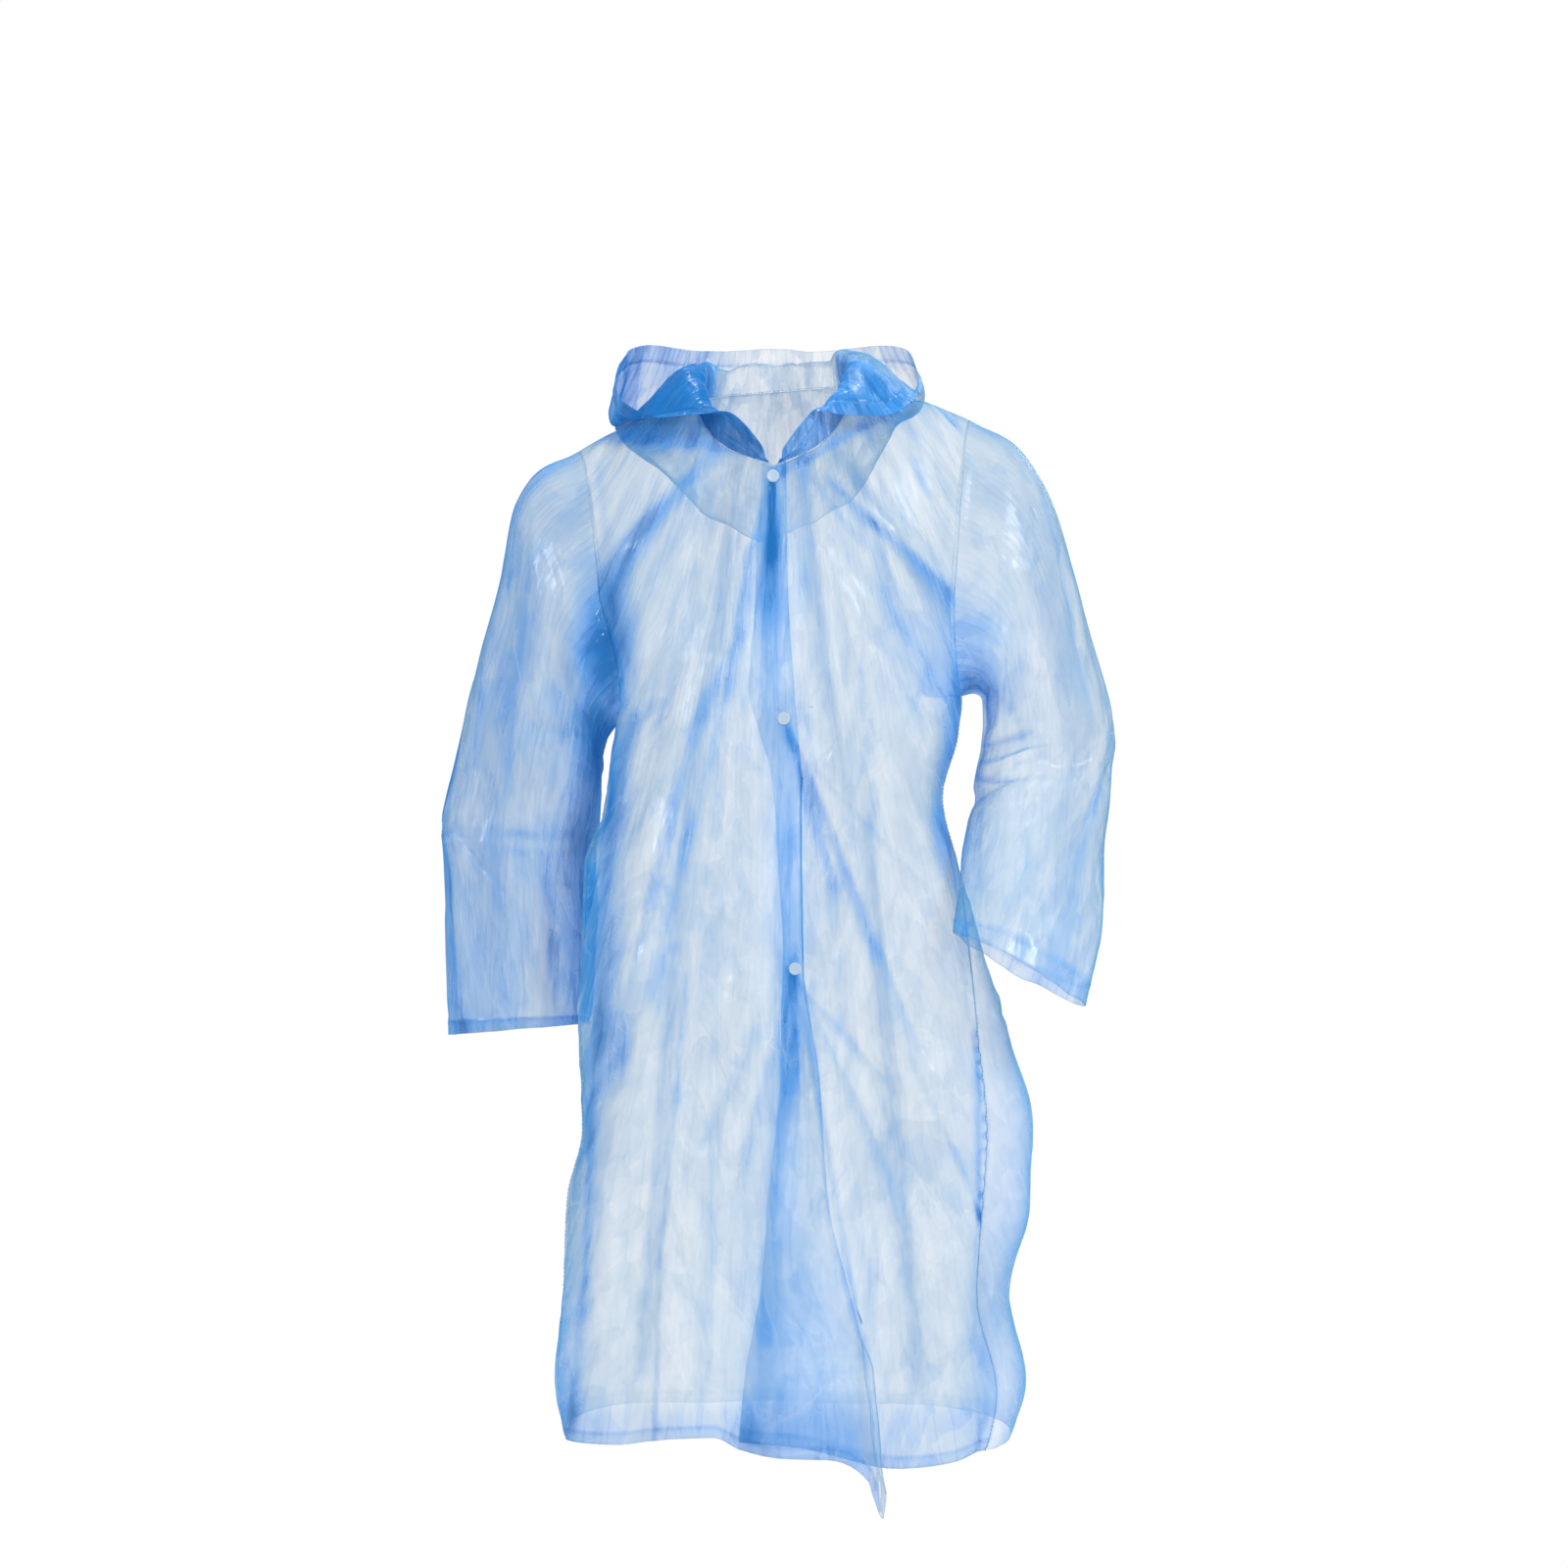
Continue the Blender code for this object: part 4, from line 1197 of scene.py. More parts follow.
def add_object(name: str, data: ID) -> Object:
    """A new object in the scene.

    Args:
        name: Its name.
        data: Its mesh, curve, lamp or camera.

    Returns:
        The object.
    """
    piece = bpy.data.objects.new(name, data)
    bpy.context.scene.collection.objects.link(piece)
    return piece


def grid_normals(grid: Array, flip: bool) -> Array:
    """Unit normals of a grid's points, on the side where the wearer isn't."""
    normals = unit(np.cross(np.gradient(grid, axis=0), np.gradient(grid, axis=1)))
    return -normals if flip else normals


def softened(values: Array, rounds: int) -> Array:
    """The grid's values, each blended with those beside it, so many times over.

    Args:
        values: One value a point.
        rounds: How often.

    Returns:
        The softened values.
    """
    for _ in range(rounds):
        padded = np.pad(values, 1, mode="edge")
        values = (padded[1:-1, :-2] + 2 * padded[1:-1, 1:-1] + padded[1:-1, 2:]) / 4
        padded = np.pad(values, 1, mode="edge")
        values = (padded[:-2, 1:-1] + 2 * padded[1:-1, 1:-1] + padded[2:, 1:-1]) / 4
    return values


def metric(grid: Array) -> tuple[Array, Array]:
    """Distances over a grid.

    Args:
        grid: Points in rows and columns.

    Returns:
        Distances across its rows from the first column, and down its columns.
    """
    steps = np.linalg.norm(np.diff(grid, axis=1), axis=-1)
    across = np.concatenate([np.zeros((len(grid), 1)), np.cumsum(steps, axis=1)], axis=1)
    steps = np.linalg.norm(np.diff(grid, axis=0), axis=-1)
    down = np.concatenate([np.zeros((1, grid.shape[1])), np.cumsum(steps, axis=0)], axis=0)
    return across, down


def seam_places(grid: Array) -> tuple[Array, Array, Array]:
    """Where a panel's points lie by its edges.

    Args:
        grid: Points in rows and columns.

    Returns:
        Distances down from the upper edge, from the nearer side seam, and from the left one.
    """
    across, down = metric(grid)
    from_left = across[:, -1:] - across
    return down, np.minimum(across, from_left), from_left


@dataclass(frozen=True)
class FacetScale:
    """One scale of crumpling: a facet's width across the hang, its length, and its height."""

    width: float
    length: float
    height: float


@dataclass
class Crumple:
    """Crumpling of packed film: facets in several sizes, longer along the hang."""

    seed: int
    scales: tuple[FacetScale, ...] = (
        FacetScale(0.036, 0.150, 0.0044),
        FacetScale(0.019, 0.052, 0.0019),
        FacetScale(0.010, 0.021, 0.0008),
    )
    field_cells: tuple[int, int] = (40, 40)
    stir_across: float = 0.014
    stir_down: float = 0.030
    lean: float = 0.35
    calm_share: float = 0.45

    def heights(self, across: Array, down: Array) -> Array:
        """Heights over a sheet, out and in about its form.

        Args:
            across: Distance across the hang of the folds.
            down: Distance along it.

        Returns:
            Heights along the normals.
        """
        warp = GradientNoise(self.seed)
        bent = across + self.stir_across * warp.at(across / 0.07 + 3.1, down / 0.13)
        sunk = down + self.stir_down * warp.at(across / 0.08, down / 0.10 + 7.7)
        total = np.zeros_like(across)
        for number, scale in enumerate(self.scales):
            field = FacetField(self.seed + 7 * number, *self.field_cells)
            lean = self.lean * number * (sunk - 0.5)
            relief = field.at((bent + lean) / scale.width + 13.3, sunk / scale.length + 5.1)
            patch = ease(warp.at(across / 0.10 + 11 * number, down / 0.14 + 5), -0.3, 0.3)
            patch = self.calm_share + (1 - self.calm_share) * patch
            total += scale.height * relief * (patch if number else 1)
        return total


@dataclass(frozen=True)
class Pucker:
    """The gathered stretch of the left side seam."""

    top: float = -0.590
    bottom: float = -0.800
    period: float = 0.0165
    width: float = 0.0085
    height: float = 0.0012
    glint: float = 0.3
    tone: float = 0.30

    def wave(self, level: Array, off_seam: Array) -> Array:
        """The puckers.

        Args:
            level: Levels.
            off_seam: Distances from the seam.

        Returns:
            -1 in a trough to 1 on a crest.
        """
        there = ease(level, self.bottom - 0.01, self.bottom + 0.01)
        there = there * (1 - ease(level, self.top - 0.01, self.top + 0.01))
        near = np.exp(-((off_seam / self.width) ** 4))
        swing = np.sin(level / self.period * 2 * math.pi + 1.7 * np.sin(level * 61))
        return there * near * np.tanh(1.6 * swing) * (0.7 + 0.3 * np.sin(level * 97))


PUCKER = Pucker()


@dataclass
class FilmSheet:
    """A panel of film on a grid, which becomes a thin shell."""

    name: str
    grid: Array
    flip: bool = False
    closed: bool = False
    thickness: float = 0.0004
    bend_full: float = 0.0022
    glint_gain: float = 1.5
    glint_power: float = 1.6
    trough_gain: float = 1.4
    trough_tone: float = 0.34
    gather: Array = field(init=False)
    glint: Array = field(init=False)
    fan: Array = field(init=False)

    def __post_init__(self) -> None:
        """Starts with neither gathers nor glints, its streaks straight down."""
        self.gather = np.zeros(self.grid.shape[:2])
        self.glint = np.zeros(self.grid.shape[:2])
        self.fan = metric(self.grid)[0]

    def each(self, change: Callable[[Array], Array]) -> None:
        """Changes the grid and its masks in the same way.

        Args:
            change: What is done to each of them.
        """
        for name in ("grid", "gather", "glint", "fan"):
            setattr(self, name, change(getattr(self, name)))

    def raise_by(self, height: Array) -> None:
        """Moves every point out along its normal.

        Args:
            height: How far.
        """
        grid = self.grid
        if self.closed:
            grid = np.concatenate([grid[:, -1:], grid, grid[:, :1]], axis=1)
        normals = grid_normals(grid, self.flip)
        if self.closed:
            normals = normals[:, 1:-1]
        self.grid = self.grid + normals * height[..., None]

    def mark_turns(self, height: Array, seen: Array) -> None:
        """Notes where the film turns: glints along crests, a deeper tone along troughs.

        Args:
            height: Heights of the creases and crumpling.
            seen: How much of that shows, 0 at a seam to 1 away from it.
        """
        padded = np.pad(height, 2, mode="edge")
        middle = padded[2:-2, 2:-2]
        beside = (padded[2:-2, :-4] + padded[2:-2, 4:]) / 2
        along = (padded[:-4, 2:-2] + padded[4:, 2:-2]) / 2
        bend = softened((middle - beside) + 0.5 * (middle - along), 3) / self.bend_full
        self.glint = seen * np.clip(self.glint_gain * bend, 0, 1) ** self.glint_power
        trough = np.clip(-self.trough_gain * bend, 0, 1)
        self.gather = self.gather + self.trough_tone * seen * trough

    def build(self, outside: Material, inside: Material) -> Object:
        """Makes the sheet's object: mesh, metric UV map, its masks and thickness.

        Args:
            outside: The film's finish on its outer face.
            inside: Its finish on the inner face.

        Returns:
            The object, riding on nothing yet.
        """
        rows, columns = self.grid.shape[:2]
        spans = columns if self.closed else columns - 1
        row, column = np.meshgrid(np.arange(rows - 1), np.arange(spans), indexing="ij")
        following = (column + 1) % columns
        corners = [
            (row, column, column),
            (row + 1, column, column),
            (row + 1, following, column + 1),
            (row, following, column + 1),
        ]
        if self.flip:
            corners = corners[::-1]
        faces = np.stack([r * columns + c for r, c, _ in corners], axis=-1).reshape(-1, 4)
        mesh = bpy.data.meshes.new(self.name)
        mesh.from_pydata(self.grid.reshape(-1, 3), [], faces)
        looped = np.concatenate([self.grid, self.grid[:, :1]], axis=1)
        across, down = metric(looped if self.closed else self.grid)
        uv = np.stack(
            [np.stack([across[r, u], down[r, u]], axis=-1) for r, _, u in corners], axis=-2
        )
        layer = mesh.uv_layers.new(name="cut")
        layer.data.foreach_set("uv", uv.reshape(-1).astype(np.float32))
        masks = {"gather": self.gather, "glint": self.glint, "fan": self.fan}
        masks["clear"] = bunched(self.grid, CLEARS)
        for name, values in masks.items():
            mask = mesh.attributes.new(name, "FLOAT", "POINT")
            values = np.clip(values, -1, 1).reshape(-1)
            mask.data.foreach_set("value", values.astype(np.float32))
        mesh.materials.append(outside)
        mesh.materials.append(inside)
        mesh.shade_smooth()
        mesh.validate()
        piece = add_object(self.name, mesh)
        shell = piece.modifiers.new("Film", "SOLIDIFY")
        shell.thickness = self.thickness
        shell.offset = -1.0
        shell.material_offset = 1
        return piece

    def tree(self) -> BVHTree:
        """Search tree over the sheet's faces, for what is set on it.

        Returns:
            The tree.
        """
        rows, columns = self.grid.shape[:2]
        faces = []
        for r in range(rows - 1):
            for c in range(columns if self.closed else columns - 1):
                n = (c + 1) % columns
                face = [row * columns + column for row, column in ((r, c), (r + 1, c), (r + 1, n), (r, n))]
                faces.append(face[::-1] if self.flip else face)
        return BVHTree.FromPolygons([Vector(p) for p in self.grid.reshape(-1, 3)], faces)


# Finishes


def wire(tree: NodeTree, source: Source, target: NodeSocket) -> None:
    """Links a source socket to an input, or sets a plain value on it.

    Args:
        tree: The tree of both.
        source: A socket or a plain value.
        target: The input.
    """
    if isinstance(source, NodeSocket):
        tree.links.new(source, target)
    else:
        target.default_value = source


def add_node(tree: NodeTree, kind: str, **settings: object) -> Node:
    """A new node.

    Args:
        tree: The tree that gets it.
        kind: Its type.
        settings: Its own properties, in lower case, then its inputs by name.

    Returns:
        The node.
    """
    node = tree.nodes.new(kind)
    for name, value in settings.items():
        if name[0].islower():
            setattr(node, name, value)
        else:
            wire(tree, value, node.inputs[name])
    return node


def math_node(
    tree: NodeTree,
    operation: str,
    first: Source,
    second: Source = 0.0,
    third: Source = 0.0,
    clamp: bool = False,
) -> NodeSocket:
    """A Math node on sockets or plain values.

    Args:
        tree: The tree that gets it.
        operation: What it works out.
        first: Its first value.
        second: Its second value.
        third: Its third value.
        clamp: Whether its result is held between 0 and 1.

    Returns:
        The result's socket.
    """
    node = add_node(tree, "ShaderNodeMath", operation=operation, use_clamp=clamp)
    for source, target in zip((first, second, third), node.inputs):
        wire(tree, source, target)
    return node.outputs[0]


def vector_math(tree: NodeTree, operation: str, first: Source, second: Source) -> Node:
    """A Vector Math node.

    Args:
        tree: The tree that gets it.
        operation: What it works out.
        first: Its first vector.
        second: Its second vector.

    Returns:
        The node.
    """
    node = add_node(tree, "ShaderNodeVectorMath", operation=operation)
    wire(tree, first, node.inputs[0])
    wire(tree, second, node.inputs[1])
    return node


def mix_colors(tree: NodeTree, factor: Source, first: Source, second: Source) -> NodeSocket:
    """A colour between two colours.

    Args:
        tree: The tree that gets the node.
        factor: How much of the second colour there is.
        first: The first colour.
        second: The second colour.

    Returns:
        The mixed colour's socket.
    """
    node = add_node(tree, "ShaderNodeMix", data_type="RGBA", Factor=factor)
    for name, color in (("A", first), ("B", second)):
        wire(tree, (*color, 1.0) if isinstance(color, tuple) else color, node.inputs[name])
    return next(socket for socket in node.outputs if socket.type == "RGBA" and socket.enabled)


@dataclass(frozen=True)
class Ramp:
    """A straight rise or fall of a value, held between 0 and 1."""

    slope: float
    start: float

    def of(self, tree: NodeTree, value: Source) -> NodeSocket:
        """The ramp of a value, as a socket."""
        return math_node(tree, "MULTIPLY_ADD", value, self.slope, self.start, clamp=True)


class Crisp(NamedTuple):
    """Thin lines where a noise crosses a level; the sharper, the thinner."""

    level: float
    sharpness: float


class Facets(NamedTuple):
    """Sockets of facets: relief, a tone that differs from one to the next, and lit edges."""

    relief: NodeSocket
    tone: NodeSocket
    edge: NodeSocket


@dataclass(frozen=True)
class CrumpleTexture:
    """Fine crumpling of film, as a shader group; cells are counts a metre, across and along."""

    name: str = "film_crumple"
    large_cells: tuple[float, float] = (34.0, 13.0)
    small_cells: tuple[float, float] = (92.0, 40.0)
    pulled_cells: tuple[float, float] = (105.0, 8.5)
    haze_cells: float = 18.0
    stir_scale: float = 0.8
    border: Ramp = Ramp(-11.0, 1.0)
    caught: Ramp = Ramp(3.0, 0.1)
    streaks: Crisp = Crisp(0.50, 9.0)
    lights: Crisp = Crisp(0.40, 16.0)
    line_power: float = 1.6
    large_height: float = 3.0
    small_height: float = 1.3
    streak_height: float = 0.5
    small_tone: float = 0.9

    def place(self, group: NodeTree, vector: NodeSocket, cells: tuple[float, float]) -> NodeSocket:
        """Places in cells.

        Args:
            group: The group that is built.
            vector: Sockets of the places across and along, in metres.
            cells: Cells a metre.

        Returns:
            Socket of the places.
        """
        across, along = (
            math_node(group, "MULTIPLY", socket, count) for socket, count in zip(vector, cells)
        )
        return add_node(group, "ShaderNodeCombineXYZ", X=across, Y=along).outputs[0]

    def facets(self, group: NodeTree, place: NodeSocket) -> Facets:
        """Planes of crumpled film, each tilted its own way.

        Args:
            group: The group that is built.
            place: Socket of the places in cells.

        Returns:
            Their sockets.
        """
        plane = {"voronoi_dimensions": "2D", "Scale": 1.0}
        stir = add_node(
            group, "ShaderNodeTexNoise", noise_dimensions="2D",
            Scale=self.stir_scale, Detail=1.0, Vector=place,
        )
        bent = vector_math(group, "ADD", place, stir.outputs["Color"]).outputs[0]
        cells = add_node(group, "ShaderNodeTexVoronoi", **plane, Vector=bent)
        away = vector_math(group, "SUBTRACT", bent, cells.outputs["Position"])
        tilt = vector_math(group, "SUBTRACT", cells.outputs["Color"], (0.5, 0.5, 0.5))
        relief = vector_math(group, "DOT_PRODUCT", away.outputs[0], tilt.outputs[0])
        parts = add_node(group, "ShaderNodeSeparateXYZ", Vector=tilt.outputs[0])
        borders = add_node(
            group, "ShaderNodeTexVoronoi", feature="DISTANCE_TO_EDGE", **plane, Vector=bent
        )
        edge = self.border.of(group, borders.outputs["Distance"])
        caught = self.caught.of(group, parts.outputs["X"])
        edge = math_node(group, "MULTIPLY", edge, caught)
        return Facets(relief.outputs["Value"], parts.outputs["Z"], edge)

    def lines(self, group: NodeTree, noise: NodeSocket, crisp: Crisp) -> NodeSocket:
        """Thin lines of a noise.

        Args:
            group: The group that is built.
            noise: Socket of the noise.
            crisp: Where and how thin they are.

        Returns:
            Socket of the lines, 0 beside them to 1 on them.
        """
        off = math_node(group, "ABSOLUTE", math_node(group, "SUBTRACT", noise, crisp.level))
        line = Ramp(-crisp.sharpness, 1.0).of(group, off)
        return math_node(group, "POWER", line, self.line_power)

    def build(self) -> NodeTree:
        """Makes the group.

        Returns:
            The group: its relief, its haze, its facets' tones, its pulled lines and its lights.
        """
        group = bpy.data.node_groups.new(self.name, "ShaderNodeTree")
        face, single = group.interface, "NodeSocketFloat"
        face.new_socket("Vector", in_out="INPUT", socket_type="NodeSocketVector")
        face.new_socket("Fan", in_out="INPUT", socket_type=single)
        for label in ("Height", "Haze", "Facet", "Streak", "Light"):
            face.new_socket(label, in_out="OUTPUT", socket_type=single)
        given = group.nodes.new("NodeGroupInput")
        parts = add_node(group, "ShaderNodeSeparateXYZ", Vector=given.outputs["Vector"])
        places = (given.outputs["Fan"], parts.outputs["Y"])
        large = self.facets(group, self.place(group, places, self.large_cells))
        small = self.facets(group, self.place(group, places, self.small_cells))
        pulls = add_node(
            group, "ShaderNodeTexNoise", noise_dimensions="2D", Scale=1.0, Detail=2.0,
            Vector=self.place(group, places, self.pulled_cells),
        ).outputs["Fac"]
        haze = add_node(
            group, "ShaderNodeTexNoise", noise_dimensions="2D", Scale=self.haze_cells, Detail=2.0,
            Vector=given.outputs["Vector"],
        )
        streak = self.lines(group, pulls, self.streaks)
        light = math_node(group, "MAXIMUM", large.edge, small.edge)
        light = math_node(group, "MAXIMUM", self.lines(group, pulls, self.lights), light)
        height = math_node(group, "MULTIPLY", large.relief, self.large_height)
        height = math_node(group, "MULTIPLY_ADD", small.relief, self.small_height, height)
        height = math_node(group, "MULTIPLY_ADD", streak, self.streak_height, height)
        tone = math_node(group, "MULTIPLY_ADD", small.tone, self.small_tone, large.tone)
        add_node(
            group, "NodeGroupOutput",
            Height=height, Haze=haze.outputs["Fac"], Facet=tone, Streak=streak, Light=light,
        )
        return group


def add_material(name: str) -> tuple[Material, NodeTree, Node]:
    """A new material.

    Args:
        name: Its name.

    Returns:
        The material, its tree and its shader.
    """
    material = bpy.data.materials.new(name)
    material.use_nodes = True
    return material, material.node_tree, material.node_tree.nodes["Principled BSDF"]


class FilmFace(Enum):
    """Which face of the film a finish is for."""

    OUTSIDE = "outside"
    INSIDE = "inside"


class FilmLook(NamedTuple):
    """Sockets or values of film at a place: how gathered it is, how lit, and its thin colour."""

    amount: Source
    glint: Source
    body: Source


@dataclass(frozen=True)
class FilmFinish:
    """See-through blue film: pale where it is one smooth layer, deep where it is gathered."""

    name: str
    face: FilmFace = FilmFace.OUTSIDE
    thin: tuple[float, float, float] = (0.08, 0.36, 0.64)
    fresh: tuple[float, float, float] = (0.09, 0.44, 0.92)
    middle: tuple[float, float, float] = (0.05, 0.36, 0.86)
    deep: tuple[float, float, float] = (0.006, 0.18, 0.54)
    pale: tuple[float, float, float] = (0.22, 0.43, 0.60)
    # bright is a painted highlight colour: where glints are marked, the film's colour is mixed towards it
    bright: tuple[float, float, float] = (0.92, 0.96, 1.00)
    to_middle: Ramp = Ramp(2.7, -0.20)
    to_deep: Ramp = Ramp(2.2, -0.9)
    to_pale: Ramp = Ramp(2.6, -0.95)
    to_lit: Ramp = Ramp(3.0, -0.9)
    to_bright: Ramp = Ramp(-0.85, 0.62)
    alpha_thin: float = 0.135
    alpha_deep: float = 0.78
    alpha_least: float = 0.035
    alpha_edge: float = 0.55
    alpha_glint: float = 0.10
    edge_power: float = 3.0
    gathered: float = 0.0
    roughness: float = 0.20
    roughness_edge: float = 0.45
    refraction: float = 1.51
    sheen: float = 0.36
    # glow is painted light: the film gives off a little light in its own colour, standing in for light
    # passing through it
    glow: float = 0.14
    bump: float = 0.9
    bump_depth: float = 0.0011
    facet: float = 0.19
    light: float = 0.75
    streak: float = 0.09
    streak_gathered: float = 0.55
    streak_most: float = 0.20
    streak_share: float = 0.30

    def mask(self, tree: NodeTree, name: str) -> NodeSocket:
        """The value of one of the sheet's masks."""
        return add_node(tree, "ShaderNodeAttribute", attribute_name=name).outputs["Fac"]

    def crumpled(self, tree: NodeTree, shader: Node, crumple: NodeTree, look: FilmLook) -> FilmLook:
        """Adds the fine crumpling.

        Args:
            tree: The material's tree.
            shader: Its shader, which gets the relief.
            crumple: The group that gives the crumpling.
            look: The film without it.

        Returns:
            The film with it.
        """
        place = add_node(tree, "ShaderNodeUVMap", uv_map="cut")
        group = add_node(
            tree, "ShaderNodeGroup", node_tree=crumple,
            Vector=place.outputs["UV"], Fan=self.mask(tree, "fan"),
        ).outputs
        amount = look.amount
        pull = math_node(tree, "MULTIPLY_ADD", amount, self.streak_gathered, self.streak)
        pull = math_node(tree, "MINIMUM", pull, self.streak_most)
        amount = math_node(tree, "MULTIPLY_ADD", group["Streak"], pull, amount)
        amount = math_node(tree, "MULTIPLY_ADD", pull, -self.streak_share, amount)
        amount = math_node(tree, "MULTIPLY_ADD", group["Facet"], self.facet, amount)
        glint = math_node(tree, "MULTIPLY_ADD", group["Light"], self.light, look.glint)
        glint = math_node(tree, "MULTIPLY", glint, self.to_lit.of(tree, group["Haze"]))
        bump = add_node(
            tree, "ShaderNodeBump",
            Strength=self.bump, Distance=self.bump_depth, Height=group["Height"],
        )
        wire(tree, bump.outputs["Normal"], shader.inputs["Normal"])
        milk = self.to_pale.of(tree, group["Haze"])
        return FilmLook(amount, glint, mix_colors(tree, milk, look.body, self.pale))

    def build(self, crumple: NodeTree) -> Material:
        """Makes the material.

        Args:
            crumple: The group that gives the fine crumpling of the outer face.

        Returns:
            The material.
        """
        material, tree, shader = add_material(self.name)
        amount = math_node(tree, "ADD", self.mask(tree, "gather"), self.gathered)
        look = FilmLook(amount, self.mask(tree, "glint"), self.thin)
        if self.face is FilmFace.OUTSIDE:
            look = self.crumpled(tree, shader, crumple, look)
        amount, glint, color = look
        color = mix_colors(tree, self.mask(tree, "clear"), color, self.fresh)
        color = mix_colors(tree, self.to_middle.of(tree, amount), color, self.middle)
        color = mix_colors(tree, self.to_deep.of(tree, amount), color, self.deep)
        # Painted highlight: marked glints turn the colour near-white
        whiter = math_node(tree, "MULTIPLY", glint, self.to_bright.of(tree, amount))
        color = mix_colors(tree, whiter, color, self.bright)
        deeper = self.alpha_deep - self.alpha_thin
        alpha = math_node(tree, "MULTIPLY_ADD", amount, deeper, self.alpha_thin)
        alpha = math_node(tree, "MAXIMUM", alpha, self.alpha_least)
        slant = add_node(tree, "ShaderNodeLayerWeight", Blend=0.5)
        edge = math_node(tree, "POWER", slant.outputs["Facing"], self.edge_power)
        alpha = math_node(tree, "MULTIPLY_ADD", edge, self.alpha_edge, alpha)
        alpha = math_node(tree, "MULTIPLY_ADD", glint, self.alpha_glint, alpha, clamp=True)
        rough = math_node(tree, "MULTIPLY_ADD", edge, self.roughness_edge, self.roughness)
        for label, source in (
            ("Base Color", color), ("Emission Color", color), ("Emission Strength", self.glow),
            ("Alpha", alpha), ("Roughness", rough), ("IOR", self.refraction),
            ("Specular IOR Level", self.sheen),
        ):
            wire(tree, source, shader.inputs[label])
        return material


class FilmPair(NamedTuple):
    """The film's finishes on its outer and on its inner face."""

    outside: Material
    inside: Material


@dataclass(frozen=True)
class PlasticFinish:
    """Milky moulded plastic of the snaps, with faint flow marks of the moulding."""

    name: str = "snap_plastic_moulded"
    color: tuple[float, float, float] = (0.74, 0.86, 0.97)
    worn: tuple[float, float, float] = (0.58, 0.77, 0.94)
    alpha: float = 0.72
    roughness: float = 0.30
    uneven: float = 0.2
    flow_cells: float = 380.0
    bump: float = 0.15
    bump_depth: float = 0.0002

    def build(self) -> Material:
        """Makes the material.

        Returns:
            The material.
        """
        material, tree, shader = add_material(self.name)
        place = tree.nodes.new("ShaderNodeTexCoord")
        flow = add_node(
            tree, "ShaderNodeTexNoise",
            Vector=place.outputs["Object"], Scale=self.flow_cells, Detail=3.0,
        ).outputs["Fac"]
        bump = add_node(
            tree, "ShaderNodeBump", Strength=self.bump, Distance=self.bump_depth, Height=flow
        )
        smoothest = self.roughness - self.uneven / 2
        for label, source in (
            ("Base Color", mix_colors(tree, flow, self.color, self.worn)),
            ("Roughness", math_node(tree, "MULTIPLY_ADD", flow, self.uneven, smoothest)),
            ("Normal", bump.outputs["Normal"]), ("Alpha", self.alpha),
        ):
            wire(tree, source, shader.inputs[label])
        return material


@dataclass(frozen=True)
class FloorFinish:
    """Plain pale floor, which looks as white as the surround and lights nothing."""

    name: str = "floor_paint"
    color: float = 0.80
    white: float = 1.02

    def build(self) -> Material:
        """Makes the material.

        Returns:
            The material.
        """
        material, tree, shader = add_material(self.name)
        eye = tree.nodes.new("ShaderNodeLightPath").outputs["Is Camera Ray"]
        for label, source in (
            ("Roughness", 0.9), ("Specular IOR Level", 0.0), ("Emission Color", WHITE),
            ("Base Color", math_node(tree, "MULTIPLY_ADD", eye, -self.color, self.color)),
            ("Emission Strength", math_node(tree, "MULTIPLY", eye, self.white)),
        ):
            wire(tree, source, shader.inputs[label])
        return material


# Sub-assemblies


SEAM_CALM = 0.012  # reach over which creases die away towards a panel's edges
SEAM_UNMARKED = 0.016  # reach over which their marks do
PANEL_LINE = 0.0022  # width of a panel's hem line


@dataclass
class GridCounts:
    """Steps of the fine grids that the panels share at their seams."""

    yoke: int = 44
    arm: int = 34
    body: int = 200
    shoulder: int = 30
    neck: int = 25
    lap: int = 30
    back_shoulder: int = 42
    back_neck: int = 30

    def downs(self) -> Array:
        """The rows' places, 0 at the upper edge to 3 at the hem."""
        return spread([0, 1, 2, 3], [self.yoke, self.arm, self.body])

    @property
    def front_half(self) -> int:
        """Columns from a side seam to the nearer free edge of a front."""
        return self.shoulder + self.neck

    @property
    def armpit_row(self) -> int:
        """The row on which the armpit lies."""
        return self.yoke + self.arm


def seam_fade(rows: Array, columns: Array, reach: float) -> Array:
    """0 on the sheet's edges to 1 at a distance from them."""
    return ease(rows, 0, reach) * ease(columns, 0, reach)


def finish_sheet(
    sheet: FilmSheet, films: FilmPair, node: str
) -> None:
    """Args:
        sheet: The shaped sheet.
        films: The finishes of its two faces.
        node: The solid that it stands for and lies on.
    """
    piece = sheet.build(*films)
    declare(piece, (node,))


def drawn_together(bands: Array, bunches: Array) -> Array:
    """How much film is drawn together by bands and bunches at once."""
    return 1 - (1 - bands) * (1 - bunches)


def stitch_line(off: Array, width: float) -> Array:
    """A soft line, 1 on it to 0 beside it."""
    return np.exp(-((off / width) ** 2))


